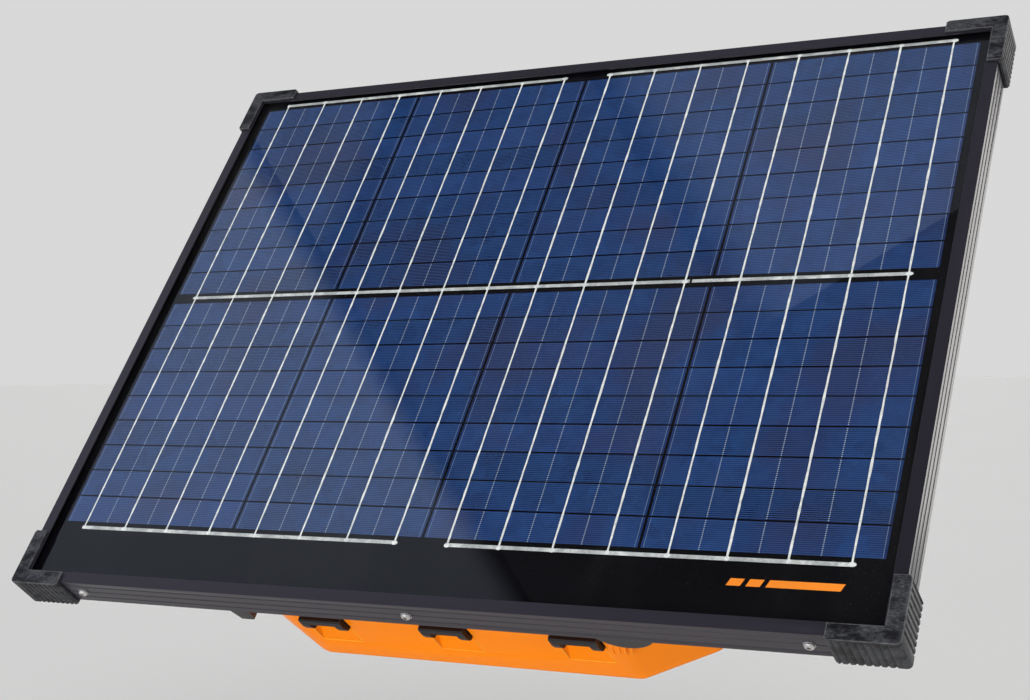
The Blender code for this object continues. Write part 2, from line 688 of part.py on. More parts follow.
def make_board():
    slab = block(BOARD_X, BOARD_Y, (BOARD_FRONT - BOARD_THICK, BOARD_FRONT))
    board = place("circuit_board", slab, CASE, "board_green")
    mesh = turned_mesh("board_screw", BOARD_SCREW_PROFILE, "bright_steel")
    for number, corner in enumerate(board_corners(), 1):
        cut(board, rod(corner, BOARD_FRONT - 5, BOARD_FRONT + 5, 1.7, "z", FINE), "board_hole")
        place_turned(f"board_screw_{number}", mesh, CASE, (*corner, BOARD_FRONT + GAP), steps=FINE)
    mesh = turned_mesh("strap_screw", BOARD_SCREW_PROFILE, "bright_steel")
    for label, side in (("left", -1), ("right", 1)):
        where = (side * STRAP_SCREW_X, STRAP_Y, STRAP_FOOT + 2 + GAP)
        place_turned(f"strap_screw_{label}", mesh, CASE, where, steps=FINE)
    foot = BOARD_FRONT + GAP
    laminations = block((-132, -68), (-70, -10), (foot, foot + 30), 1.5)
    core = place("pulse_transformer", laminations, CASE, "transformer_black")
    join(core, block((-124, -76), (-78, -2), (foot + 4, foot + 26), 4.0), "winding")
    for number, x in enumerate((-38, 4), 1):
        can = [(0, 50), (15.5, 50), (17.5, 48), (17.5, 2), (15.5, 0), (0, 0)]
        mesh = turned_mesh("storage_capacitor", can, "capacitor_blue")
        place_turned(f"storage_capacitor_{number}", mesh, CASE, (x, -40, foot), steps=20)


LEAD_ROUTES = {
    "battery_lead_red": (
        (30, -113.2, -75), (30, -108, -74), (30, -100, -70),
        (34, -88, -72), (38, -78, -88), (38, -76, -105.8),
    ),
    "battery_lead_black": (
        (-30, -113.2, -75), (-30, -108, -74), (-24, -98, -68),
        (0, -86, -62), (22, -78, -76), (24, -76, -105.8),
    ),
    "panel_lead_case": (
        (30, 32, -26), (30, 28, -40), (34, 14, -60), (40, -2, -84), (40, -8, -105.8),
    ),
    "panel_lead_lid": (
        (30, 76, -9), (30, 66, -9.2), (30, 50, -10), (30, 38, -12), (30, 32.5, -17), (30, 32, -25),
    ),
}


def make_leads():
    """The panel's lead is in two halves, which meet where the lid meets the case."""
    for name, route in LEAD_ROUTES.items():
        parent = LID if name.endswith("lid") else CASE
        place_lead(name, route, parent, "lead_red" if name.endswith("red") else "lead_black")


# ---------------------------------------------------------------------------------------------
# Controls on the right wall, terminals on the left wall


def fluted(radius, depth, flutes, centre, points_per_flute=6):
    """A knob's outline: a circle with rounded flutes."""
    count = flutes * points_per_flute
    outline = []
    for i in range(count):
        angle = 2 * math.pi * i / count
        reach = radius - depth * (0.5 - 0.5 * math.cos(flutes * angle))
        outline.append((centre[0] + reach * math.cos(angle), centre[1] + reach * math.sin(angle)))
    return outline


def inner_pair(pair):
    return (pair[0] + GAP, pair[1] - GAP)


def make_controls():
    fascia = place(
        "control_fascia",
        block((183, 197), inner_pair(CONTROL_Y), inner_pair(CONTROL_Z), 1.5),
        CASE,
        "moulded_black",
    )
    cut(fascia, rod(SELECTOR, 170, 210, 3.6), "selector_hole")
    cut(fascia, rod(LIGHT, 170, 210, 4.3), "light_hole")
    place("selector_switch", block((164, 182.7), (-62, -34), (-86, -58), 1.0), CASE, "moulded_black")
    lens = place("status_light", rod(LIGHT, 186, 198.5, 4.0), CASE, "light_green")
    lens.modifiers.new("rounded", "BEVEL").width = 0.8 * MM
    knob = place(
        "selector_knob",
        extrusion(fluted(13, 1.2, 10, SELECTOR), 197.5, 209, "x", fluted(12, 1.2, 10, SELECTOR)),
        CASE,
        "moulded_black",
        (190, *SELECTOR),
    )
    join(knob, rod(SELECTOR, 184, 200, 3.2), "selector_shaft")
    y, z = SELECTOR
    join(knob, block((205, 211), (y - 1.5, y + 1.5), (z - 1, z + 11)), "pointer")


def make_terminals():
    insulator = place(
        "terminal_block",
        block((-197, -183), inner_pair(TERMINAL_Y), inner_pair(TERMINAL_Z), 1.5),
        CASE,
        "moulded_black",
    )
    for label, centre, material in (
        ("fence", FENCE_TERMINAL, "knob_red"),
        ("earth", EARTH_TERMINAL, "knob_green"),
    ):
        cut(insulator, rod(centre, -210, -170, STUD_RADIUS + GAP, "x", FINE), "stud_hole")
        place(f"{label}_stud", rod(centre, -219, -172, STUD_RADIUS, "x", FINE), CASE, "bright_steel")
        outline = fluted(11, 1.5, 8, centre)
        knob = place(
            f"{label}_knob", extrusion(outline, -224, -201, "x"), CASE, material, (-212, *centre)
        )
        cut(knob, rod(centre, -220, -190, STUD_RADIUS + 0.25, "x", FINE), "knob_bore")


# ---------------------------------------------------------------------------------------------
# Post bracket, in the upright frame


def make_bracket():
    """Folded steel: a plate on the case's back, an upright plate for the post and two cheeks."""
    near, far = CASE_BACK - GAP, CASE_BACK - GAP - BRACKET_STEEL
    plate = [upright(y, z) for y, z in zip((*BRACKET_Y, *reversed(BRACKET_Y)), (near, near, far, far))]
    half = BRACKET_HALF_WIDTH
    bracket = place("post_bracket", extrusion(plate, -half, half, "x"), UPRIGHT, "powder_black")
    top, foot = POST_FACE_Z + 62, POST_FACE_Z - 62
    join(bracket, block((-half, half), (POST_FACE_Y - BRACKET_STEEL, POST_FACE_Y), (foot, top)), "post_plate")
    middle = (near + far) / 2
    upper, lower = upright(BRACKET_Y[1] - 2, middle), upright(BRACKET_Y[0] + 2, middle)
    behind = POST_FACE_Y - BRACKET_STEEL / 2
    cheek = [lower, (behind, lower[1]), (behind, upper[1]), upper]
    for side in (-1, 1):
        start, end = sorted((side * CHEEK_X, side * (CHEEK_X + BRACKET_STEEL)))
        join(bracket, extrusion(cheek, start, end, "x"), "cheek")
        for z in (POST_FACE_Z - 42, POST_FACE_Z + 42):
            slot_x = side * 43
            slot = block((slot_x - 4, slot_x + 4), (POST_FACE_Y - 10, POST_FACE_Y + 10), (z - 9, z + 9))
            cut(bracket, slot, "strap_slot")
    for bolt_x, bolt_y in BRACKET_BOLTS:
        hole = rod((bolt_x, bolt_y), CASE_BACK - 12, CASE_BACK + 12, 3.3, "z", FINE)
        turn = Matrix.Rotation(math.radians(TILT_DEGREES), 3, "X")
        bmesh.ops.rotate(hole, verts=hole.verts[:], matrix=turn)
        cut(bracket, hole, "bolt_hole")
    profile = ((0, 4), (3, 3.7), (5.5, 2), (5.8, 0), (3, 0), (3, -11), (0, -11.5))
    mesh = turned_mesh("bracket_bolt", profile, "bright_steel")
    for number, (bolt_x, bolt_y) in enumerate(BRACKET_BOLTS, 1):
        place_turned(f"bracket_bolt_{number}", mesh, CASE, (bolt_x, bolt_y, far - GAP), (180, 0, 0))


def main():
    bottom_rail, top_rail = make_frame()
    for vertical, side_y in (("top", 1), ("bottom", -1)):
        for horizontal, side_x in (("left", -1), ("right", 1)):
            make_corner_cap(f"corner_cap_{vertical}_{horizontal}", side_x, side_y)
    make_laminate()
    make_junction_box()
    plate = make_back_plate()
    make_frame_screws(bottom_rail, top_rail, plate)
    make_case()
    make_case_seal()
    make_hinge_pin()
    for label, x in LATCH_X.items():
        make_latch(label, x)
    make_batteries()
    make_board()
    make_leads()
    make_controls()
    make_terminals()
    make_bracket()


main()
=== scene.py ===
"""Looks for the solar fence energizer: its cells, mouldings, fixings, inside and finishes.

Pieces are made in the case frame, in millimetres: X to the right, Y up along the panel, Z out of
its glass, with the origin in the middle of the aluminium frame, in the plane of the cells.
"""

import json
import math
import random

import bmesh
import bpy
from mathutils import Matrix, Vector
from mathutils.bvhtree import BVHTree


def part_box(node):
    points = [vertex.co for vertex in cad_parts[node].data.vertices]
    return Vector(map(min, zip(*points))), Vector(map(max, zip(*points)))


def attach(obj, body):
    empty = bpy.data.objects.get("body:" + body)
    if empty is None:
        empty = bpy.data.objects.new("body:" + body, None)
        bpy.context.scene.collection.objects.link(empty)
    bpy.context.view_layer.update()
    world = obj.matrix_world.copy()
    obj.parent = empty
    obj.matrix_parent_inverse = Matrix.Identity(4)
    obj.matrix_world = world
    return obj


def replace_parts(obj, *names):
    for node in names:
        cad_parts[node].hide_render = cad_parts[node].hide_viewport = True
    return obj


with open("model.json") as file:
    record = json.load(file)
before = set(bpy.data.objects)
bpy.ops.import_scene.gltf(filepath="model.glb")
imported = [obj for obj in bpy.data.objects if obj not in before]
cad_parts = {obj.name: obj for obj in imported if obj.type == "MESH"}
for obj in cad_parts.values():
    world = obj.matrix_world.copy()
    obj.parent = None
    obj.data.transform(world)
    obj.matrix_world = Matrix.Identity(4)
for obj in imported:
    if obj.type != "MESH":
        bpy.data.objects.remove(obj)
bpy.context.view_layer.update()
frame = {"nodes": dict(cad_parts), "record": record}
NODES = frame["nodes"]

MM = 0.001
TILT = math.radians(53.0)
PANEL_CENTRE = Vector((0.0, -0.138, 0.104163))
CASE = Matrix.Translation(PANEL_CENTRE) @ Matrix.Rotation(TILT, 4, "X")
TO_CASE = CASE.inverted()

# ---- Cells, in millimetres

CELL_WIDTH, CELL_PITCH = 156.0, 158.0
BLOCK_LEFT = -315.0
STRIP_HEIGHT, STRIP_PITCH, STRIPS = 22.3, 23.5, 9
UPPER_TOP, LOWER_TOP = 234.75, 14.05
BUS_Y = {"top": 239.6, "middle": 19.75, "bottom": -201.3}
RIBBON_WIDTH, BUS_WIDTH = 1.25, 2.8
RIBBON_STEP = STRIP_PITCH / 4
FINGER_PITCH = 1.5
PAD_PITCH = CELL_WIDTH / 4
END_LINE = 1.9
RIBBONS = [
    BLOCK_LEFT + CELL_PITCH * column + CELL_WIDTH * eighth / 8
    for column in range(4)
    for eighth in (1, 3, 5, 7)
]


# ---- Materials


def add(tree, kind, values=None, **settings):
    """A shader node. A value that is a socket is linked, and any other is set."""
    node = tree.nodes.new("ShaderNode" + kind)
    for name, value in settings.items():
        setattr(node, name, value)
    for key, value in (values or {}).items():
        if isinstance(value, bpy.types.NodeSocket):
            tree.links.new(value, node.inputs[key])
        else:
            node.inputs[key].default_value = value
    return node


def maths(tree, operation, *values, clamp=False):
    node = add(tree, "Math", dict(enumerate(values)), operation=operation, use_clamp=clamp)
    return node.outputs[0]


def times(tree, first, second):
    return maths(tree, "MULTIPLY", first, second)


def mixed(tree, share, first, second, blend="MIX"):
    node = add(tree, "Mix", {0: share, 6: first, 7: second}, data_type="RGBA", blend_type=blend)
    return node.outputs[2]


def spread(tree, value, from_low, from_high, low, high, smooth=False):
    kind = "SMOOTHSTEP" if smooth else "LINEAR"
    values = {0: value, 1: from_low, 2: from_high, 3: low, 4: high}
    return add(tree, "MapRange", values, interpolation_type=kind).outputs[0]


def places(tree, scale=(1, 1, 1)):
    """The piece's own coordinates in metres, stretched."""
    where = add(tree, "TexCoord").outputs["Object"]
    return add(tree, "Mapping", {"Vector": where, "Scale": scale}).outputs[0]


def noise(tree, where, scale, detail=3.0, rough=0.55):
    values = {"Vector": where, "Scale": scale, "Detail": detail, "Roughness": rough}
    return add(tree, "TexNoise", values).outputs["Fac"]


def bumped(tree, height, distance):
    return add(tree, "Bump", {"Height": height, "Distance": distance, "Strength": 1.0}).outputs[0]


def rgb(colour):
    return (*colour, 1.0)


def scaled(colour, by):
    return (*(min(1.0, channel * by) for channel in colour), 1.0)


def blank(name):
    material = bpy.data.materials.new(name)
    material.use_nodes = True
    tree = material.node_tree
    return material, tree, tree.nodes["Principled BSDF"]


def edge_share(tree, reach):
    """1 on outer edges, fading to 0 on the flats at about reach, in metres."""
    node = add(
        tree, "AmbientOcclusion", {"Distance": reach}, samples=6, inside=True, only_local=True
    )
    return spread(tree, node.outputs["AO"], 0.45, 0.92, 1.0, 0.0)


def finished(
    name, colour, roughness, metallic=0.0, mottle=0.12, mottle_scale=9.0, stretch=(1, 1, 1),
    grain=0.00004, grain_scale=900.0, worn=None, edge_wear_and_highlight=None, rough_spread=0.10, coat=0.0,
    coat_roughness=0.15, scratches=0.0, specular=0.5,
):
    """A moulded, cast or coated surface.

    mottle is how far the colour varies, and grain is the depth of the bump in metres. worn is the
    colour, share and scale of scuffs. The argument after it is the colour of outer edges, and how
    far
    it reaches: partly wear, partly a painted highlight along the edges.
    """
    material, tree, shader = blank(name)
    where = places(tree, stretch)
    slow = noise(tree, where, mottle_scale, 4.0)
    fine = noise(tree, where, grain_scale, 2.0)
    base = mixed(
        tree, spread(tree, slow, 0.3, 0.7, 0.0, 1.0, True),
        scaled(colour, 1.0 - mottle), scaled(colour, 1.0 + mottle),
    )
    rough = spread(tree, slow, 0.25, 0.75, roughness - rough_spread, roughness + rough_spread)
    if worn:
        worn_colour, worn_share, worn_scale = worn
        scuff = noise(tree, where, worn_scale, 9.0, 0.72)
        broken = noise(tree, where, worn_scale * 9, 5.0, 0.7)
        low = 0.72 - worn_share
        share = times(
            tree, spread(tree, scuff, low, low + 0.2, 0.0, 1.0, True),
            spread(tree, broken, 0.35, 0.65, 0.25, 1.0, True),
        )
        base = mixed(tree, share, base, rgb(worn_colour))
        rough = maths(tree, "ADD", rough, times(tree, share, 0.12), clamp=True)
    # Outer edges made lighter: partly wear, partly a painted highlight along them.
    if edge_wear_and_highlight:
        edge_wear_and_highlight_colour, reach = edge_wear_and_highlight
        patches = noise(tree, places(tree), 140.0, 4.0, 0.7)
        broken = spread(tree, patches, 0.3, 0.62, 0.35, 1.0, True)
        share = times(tree, edge_share(tree, reach), broken)
        base = mixed(tree, share, base, rgb(edge_wear_and_highlight_colour))
    height = fine
    if scratches:
        lines = noise(tree, places(tree, (1, 60, 60)), 14.0, 6.0, 0.7)
        height = maths(tree, "ADD", fine, times(tree, lines, scratches))
    tree.links.new(base, shader.inputs["Base Color"])
    tree.links.new(rough, shader.inputs["Roughness"])
    tree.links.new(bumped(tree, height, grain), shader.inputs["Normal"])
    shader.inputs["Metallic"].default_value = metallic
    shader.inputs["Specular IOR Level"].default_value = specular
    shader.inputs["Coat Weight"].default_value = coat
    shader.inputs["Coat Roughness"].default_value = coat_roughness
    return material


def band(tree, value, centre, half, soft):
    """1 where value is within half of centre, fading to 0 over soft."""
    away = maths(tree, "ABSOLUTE", maths(tree, "SUBTRACT", value, centre))
    return spread(tree, away, half, half + soft, 1.0, 0.0)


def cell_material():
    """Blue polycrystalline silicon with printed fingers, end lines and dotted bus pads."""
    material, tree, shader = blank("polycrystalline_cell")
    where = places(tree, (1000, 1000, 1000))
    split = add(tree, "SeparateXYZ", {0: where})
    x, y = split.outputs[0], split.outputs[1]
    tone = add(tree, "Attribute", attribute_name="tone").outputs["Fac"]

    warp = add(tree, "TexNoise", {"Vector": where, "Scale": 0.11, "Detail": 2.0}).outputs["Color"]
    shift = add(tree, "VectorMath", {0: warp, "Scale": 9.0}, operation="SCALE").outputs[0]
    warped = add(tree, "VectorMath", {0: where, 1: shift}, operation="ADD").outputs[0]
    grains = add(tree, "TexVoronoi", {"Vector": warped, "Scale": 0.085})
    small = add(tree, "TexVoronoi", {"Vector": warped, "Scale": 0.24})
    large_tone = add(tree, "SeparateColor", {0: grains.outputs["Color"]}).outputs[0]
    small_tone = add(tree, "SeparateColor", {0: small.outputs["Color"]}).outputs[1]
    level = maths(
        tree, "ADD", times(tree, large_tone, 0.6),
        times(tree, small_tone, 0.4),
    )
    blue = mixed(tree, level, (0.0025, 0.017, 0.085, 1), (0.007, 0.036, 0.142, 1))
    stain = noise(tree, where, 0.0105, 2.0, 0.5)
    stained = maths(
        tree, "ADD", spread(tree, stain, 0.46, 0.70, 0.0, 0.85, True),
        times(tree, tone, 0.3),
    )
    stained = maths(tree, "MINIMUM", stained, 0.92)
    base = mixed(tree, stained, blue, (0.0125, 0.0165, 0.066, 1))
    base = mixed(tree, 1.0, base, spread(tree, tone, 0.0, 1.0, 0.76, 1.16), "MULTIPLY")

    # Across a cell, u is in millimetres from its left edge.
    along = maths(tree, "FRACT", maths(tree, "DIVIDE", y, FINGER_PITCH))
    finger = band(tree, along, 0.5, 0.06, 0.16)
    u = maths(tree, "FLOORED_MODULO", maths(tree, "ADD", x, -BLOCK_LEFT), CELL_PITCH)
    middle = CELL_WIDTH / 2
    ends = maths(
        tree, "MAXIMUM", band(tree, u, END_LINE, 0.16, 0.1),
        band(tree, u, CELL_WIDTH - END_LINE, 0.16, 0.1),
    )
    inside = band(tree, u, middle, middle - 2.0, 0.2)
    nearest = maths(tree, "ADD", u, PAD_PITCH / 2)
    nearest = maths(tree, "FLOORED_MODULO", nearest, PAD_PITCH)
    nearest = maths(tree, "SUBTRACT", nearest, PAD_PITCH / 2)
    dots = times(
        tree, band(tree, nearest, 0.0, 0.3, 0.12), band(tree, u, middle, 50, 1)
    )
    dots = times(tree, dots, band(tree, along, 0.5, 0.2, 0.1))
    printed = times(tree, times(tree, finger, inside), 0.42)
    base = mixed(tree, printed, base, (0.06, 0.125, 0.29, 1))
    base = mixed(tree, times(tree, ends, 0.4), base, (0.3, 0.37, 0.5, 1))
    base = mixed(tree, times(tree, dots, 0.6), base, (0.5, 0.56, 0.66, 1))
    tree.links.new(base, shader.inputs["Base Color"])
    tree.links.new(spread(tree, small_tone, 0.0, 1.0, 0.38, 0.55), shader.inputs["Roughness"])
    shader.inputs["Specular IOR Level"].default_value = 0.05
    under_glass(shader, 1.85)
    return material


def under_glass(shader, ior=1.5):
    """The gloss of the front glass, which is bonded to the layers behind it."""
    shader.inputs["Coat Weight"].default_value = 1.0
    shader.inputs["Coat IOR"].default_value = ior
    shader.inputs["Coat Roughness"].default_value = 0.015


def glass_material():
    """Clear glass with a faint, uneven film of dust. Its gloss is on what is bonded to it."""
    material, tree, shader = blank("clear_glass")
    clear = add(tree, "BsdfTransparent", {"Color": (0.975, 0.99, 0.985, 1)})
    streaks = noise(tree, places(tree, (1.0, 0.35, 0.35)), 9.0, 6.0, 0.65)
    specks = noise(tree, places(tree), 260.0, 3.0, 0.6)
    film = maths(
        tree, "ADD", spread(tree, streaks, 0.45, 0.8, 0.0005, 0.006, True),
        spread(tree, specks, 0.70, 0.78, 0.0, 0.015, True),
    )
    shader.inputs["Base Color"].default_value = (0.62, 0.62, 0.60, 1)
    shader.inputs["Roughness"].default_value = 0.7
    shader.inputs["Specular IOR Level"].default_value = 0.1
    both = add(tree, "MixShader", {0: film, 1: clear.outputs[0], 2: shader.outputs[0]})
    tree.links.new(both.outputs[0], tree.nodes["Material Output"].inputs["Surface"])
    return material


def board_material():
    """Green solder mask with copper tracks showing through as lighter lines, and tinned pads."""
    material, tree, shader = blank("solder_mask")
    where = places(tree, (1000, 1000, 1000))
    tracks = add(
        tree, "TexBrick",
        {"Vector": where, "Scale": 0.16, "Mortar Size": 0.05, "Mortar Smooth": 0.1,
         "Brick Width": 0.9, "Row Height": 0.35,
         "Color1": (0, 0, 0, 1), "Color2": (0.25, 0.25, 0.25, 1), "Mortar": (1, 1, 1, 1)},
    ).outputs["Color"]
    base = mixed(tree, tracks, (0.008, 0.075, 0.026, 1), (0.02, 0.16, 0.05, 1))
    pads = add(tree, "TexVoronoi", {"Vector": where, "Scale": 0.22}).outputs["Distance"]
    base = mixed(tree, spread(tree, pads, 0.09, 0.11, 1.0, 0.0), base, (0.55, 0.52, 0.45, 1))
    tree.links.new(base, shader.inputs["Base Color"])
    shader.inputs["Roughness"].default_value = 0.35
    shader.inputs["Coat Weight"].default_value = 0.4
    return material


RAIL_BLACK = (0.021, 0.019, 0.027)
RAIL = dict(
    roughness=0.34, metallic=0.25, mottle=0.15, mottle_scale=14.0, grain=0.00003,
    grain_scale=1200.0, worn=((0.045, 0.045, 0.05), 0.14, 30.0),
)
ORANGE = dict(grain=0.00006, grain_scale=1500.0)
KNOB = dict(roughness=0.34, mottle=0.06, grain=0.0001, coat=0.2)

MATERIALS = {
    "rail_x": finished(
        "anodised_black_x", RAIL_BLACK, stretch=(0.12, 1, 1), scratches=0.4, **RAIL
    ),
    "rail_y": finished("anodised_black_y", RAIL_BLACK, stretch=(1, 0.12, 1), **RAIL),
    # Lighter grey outer edges on the caps: worn edges and a painted highlight.
    "cap": finished(
        "scuffed_corner_plastic", (0.0065, 0.0065, 0.0085), 0.42, mottle=0.25, mottle_scale=45.0,
        stretch=(0.5, 1, 1), grain=0.0002, grain_scale=500.0, specular=0.16,
        worn=((0.066, 0.069, 0.077), 0.34, 110.0), edge_wear_and_highlight=((0.19, 0.192, 0.20), 0.0009),
    ),
    "cell": cell_material(),
    "glass": glass_material(),
    "backing": finished(
        "black_laminate", (0.0016, 0.0014, 0.0025), 0.5, mottle=0.3, mottle_scale=12.0,
        grain=0.00001, specular=0.03,
    ),
    "ribbon": finished(
        "tinned_ribbon", (0.76, 0.745, 0.74), 0.36, metallic=0.15, mottle=0.14,
        mottle_scale=160.0, grain=0.00015, worn=((0.42, 0.42, 0.44), 0.24, 170.0),
    ),
    "bus": finished(
        "tinned_bus", (0.60, 0.59, 0.585), 0.4, metallic=0.15, mottle=0.3, mottle_scale=60.0,
        grain=0.0002, grain_scale=600, worn=((0.30, 0.30, 0.32), 0.34, 90.0),
    ),
    "mark": finished("printed_orange", (0.85, 0.22, 0.012), 0.5, grain=0.00001),
    # Lighter, yellower outer edges on the case: a painted highlight, broken up in patches.
    "orange": finished(
        "case_orange", (0.99, 0.245, 0.0005), 0.40, mottle=0.03, mottle_scale=7.0,
        rough_spread=0.06, specular=0.05, edge_wear_and_highlight=((1.0, 0.29, 0.006), 0.0014), **ORANGE
    ),
    # A lighter orange for the beads round the finger scoops: a painted highlight.
    "orange_highlight": finished(
        "painted_highlight_orange", (1.0, 0.40, 0.035), 0.42, mottle=0.1, mottle_scale=60.0, specular=0.1,
        **ORANGE
    ),
    # Lighter outer edges: worn edges and a painted highlight.
    "black": finished(
        "moulded_black", (0.006, 0.0055, 0.007), 0.42, mottle=0.15, mottle_scale=20.0,
        grain=0.00012, grain_scale=1100.0, specular=0.2,
        worn=((0.024, 0.024, 0.026), 0.16, 40.0), edge_wear_and_highlight=((0.055, 0.052, 0.056), 0.0009),
    ),
    # Lighter outer edges: worn edges and a painted highlight.
    "tray": finished(
        "moulded_tray_black", (0.020, 0.020, 0.022), 0.50, mottle=0.18, mottle_scale=8.0,
        grain=0.0003, grain_scale=700.0,
        worn=((0.045, 0.045, 0.047), 0.2, 12.0), edge_wear_and_highlight=((0.075, 0.075, 0.078), 0.0012),
    ),
    "rubber": finished(
        "seal_rubber", (0.018, 0.018, 0.018), 0.85, mottle=0.2, mottle_scale=60.0, grain=0.0004
    ),
    "steel": finished(
        "bright_steel", (0.62, 0.62, 0.62), 0.24, metallic=1.0, mottle=0.08, mottle_scale=60.0,
        grain=0.00005, grain_scale=2500, worn=((0.35, 0.34, 0.33), 0.12, 220.0),
    ),
    # Near-black for socket bottoms and for the bars that stand for cross recesses and vent
    # grooves: painted shade.
    "socket": finished("painted_recess_shade", (0.05, 0.05, 0.05), 0.5, metallic=0.8, grain=0.00002),
    # Lighter outer edges: worn edges and a painted highlight.
    "powder": finished(
        "powder_coat_black", (0.024, 0.024, 0.026), 0.46, metallic=0.15, mottle_scale=10.0,
        grain=0.0004, grain_scale=420.0,
        worn=((0.07, 0.07, 0.07), 0.12, 30.0), edge_wear_and_highlight=((0.15, 0.15, 0.15), 0.0008),
    ),
    "battery": finished(
        "battery_plastic", (0.085, 0.087, 0.095), 0.45, mottle_scale=14.0, grain=0.0003,
        grain_scale=600.0, worn=((0.16, 0.16, 0.17), 0.15, 24.0),
    ),
    "battery_lid": finished("battery_lid_plastic", (0.03, 0.03, 0.032), 0.5, grain=0.0002),
    "board": board_material(),
    "chip": finished("chip_resin", (0.02, 0.02, 0.022), 0.4, grain=0.0001, grain_scale=2500),
    "copper": finished(
        "enamelled_copper", (0.55, 0.16, 0.05), 0.3, metallic=0.9, mottle=0.2, mottle_scale=60.0,
        stretch=(60, 1, 1), grain=0.0003, grain_scale=60.0,
    ),
    "core": finished(
        "varnished_steel_core", (0.06, 0.055, 0.05), 0.45, metallic=0.6, mottle=0.3,
        mottle_scale=40.0, stretch=(1, 1, 90), grain=0.0003, grain_scale=90.0,
    ),
    "tape": finished("yellow_tape", (0.75, 0.45, 0.03), 0.35, grain=0.0001, coat=0.4),
    "sleeve": finished(
        "capacitor_sleeve", (0.016, 0.045, 0.19), 0.3, grain=0.00005, coat=0.5, mottle=0.08
    ),
    "stripe": finished("sleeve_stripe", (0.55, 0.57, 0.6), 0.4, grain=0.00004),
    "foil": finished("bare_aluminium", (0.7, 0.71, 0.72), 0.35, metallic=1.0, grain=0.00008),
    "wire_red": finished(
        "red_insulation", (0.42, 0.012, 0.01), 0.4, grain=0.00006, mottle=0.06
    ),
    "wire_black": finished("black_insulation", (0.02, 0.02, 0.02), 0.42, grain=0.00006),
    "knob_red": finished(
        "red_knob_plastic", (0.45, 0.012, 0.010), worn=((0.5, 0.08, 0.06), 0.12, 60.0), **KNOB
    ),
    "knob_green": finished(
        "green_knob_plastic", (0.012, 0.20, 0.035), worn=((0.06, 0.28, 0.1), 0.12, 60.0), **KNOB
    ),
    "print": finished("white_print", (0.72, 0.72, 0.70), 0.5, grain=0.00002, mottle=0.05),
    "lens": finished(
        "green_lens", (0.03, 0.42, 0.10), 0.12, grain=0.00001, coat=0.8, coat_roughness=0.03
    ),
    "white_part": finished("white_connector", (0.72, 0.70, 0.64), 0.4, grain=0.00008),
}


for layer in ("backing", "ribbon", "bus", "mark"):
    under_glass(MATERIALS[layer].node_tree.nodes["Principled BSDF"])


# ---- Shapes. Each returns a bmesh in millimetres, in the case frame.


def circle(radius, sides):
    """Points (x, y) round a circle."""
    angles = [2 * math.pi * i / sides for i in range(sides)]
    return [(radius * math.cos(angle), radius * math.sin(angle)) for angle in angles]


def block(x, y, z, round_by=0.0, segments=2):
    """A box between the (low, high) pairs, with rounded edges."""
    bm = bmesh.new()
    bmesh.ops.create_cube(bm, size=1.0)
    for vert in bm.verts:
        vert.co = [low if side < 0 else high for side, (low, high) in zip(vert.co, (x, y, z))]
    if round_by:
        bmesh.ops.bevel(
            bm, geom=bm.edges[:], offset=round_by, segments=segments, profile=0.5, affect="EDGES"
        )
    return bm


def turned(profile, sides=32):
    """A lathe shape about Z from (radius, height) pairs, top to bottom, closed at both ends."""
    bm = bmesh.new()
    rings = []
    for radius, height in profile:
        spots = circle(radius, sides) if radius else [(0, 0)]
        rings.append([bm.verts.new((x, y, height)) for x, y in spots])
    for upper, lower in zip(rings, rings[1:]):
        for i in range(sides):
            j = (i + 1) % sides
            corners = [upper[i % len(upper)], lower[i % len(lower)],
                       lower[j % len(lower)], upper[j % len(upper)]]
            corners = list(dict.fromkeys(corners))
            if len(corners) > 2:
                bm.faces.new(corners)
    for ring, flip in ((rings[0], False), (rings[-1], True)):
        if len(ring) > 1:
            bm.faces.new(list(reversed(ring)) if flip else ring)
    bmesh.ops.recalc_face_normals(bm, faces=bm.faces[:])
    return bm


def tube(points, radius, sides=12):
    """A round wire through the points."""
    bm = bmesh.new()
    rings = []
    outline = [Vector((x, y, 0)) for x, y in circle(radius, sides)]
    for i, point in enumerate(points):
        before, after = points[max(i - 1, 0)], points[min(i + 1, len(points) - 1)]
        along = (Vector(after) - Vector(before)).normalized()
        turn = along.to_track_quat("Z", "Y")
        rings.append([bm.verts.new(Vector(point) + turn @ corner) for corner in outline])
    for first, second in zip(rings, rings[1:]):
        for k in range(sides):
            m = (k + 1) % sides
            bm.faces.new((first[k], first[m], second[m], second[k]))
    bm.faces.new(list(reversed(rings[0])))
    bm.faces.new(rings[-1])
    bmesh.ops.recalc_face_normals(bm, faces=bm.faces[:])
    return bm


def smooth_route(route, steps=8):
    """Catmull-Rom points through the route."""
    points = [Vector(point) for point in (route[0], *route, route[-1])]
    smooth = []
    for before, start, end, after in zip(points, points[1:], points[2:], points[3:]):
        for i in range(steps):
            t = i / steps
            smooth.append(
                0.5 * (
                    2 * start + (end - before) * t
                    + (2 * before - 5 * start + 4 * end - after) * t**2
                    + (3 * start - before - 3 * end + after) * t**3
                )
            )
    return smooth + [points[-1]]


def moved(bm, at=(0, 0, 0), turn=(0, 0, 0)):
    """Turned by angles in degrees about X, then Y, then Z, and then moved."""
    matrix = Matrix.Translation(at)
    for axis, angle in zip("ZYX", reversed(turn)):
        matrix = matrix @ Matrix.Rotation(math.radians(angle), 4, axis)
    bmesh.ops.transform(bm, matrix=matrix, verts=bm.verts[:])
    return bm


def merged(shapes):
    """Several shapes as one mesh."""
    bm = bmesh.new()
    for shape in shapes:
        mesh = bpy.data.meshes.new("scratch")
        shape.to_mesh(mesh)
        shape.free()
        bm.from_mesh(mesh)
        bpy.data.meshes.remove(mesh)
    return bm


# ---- Pieces


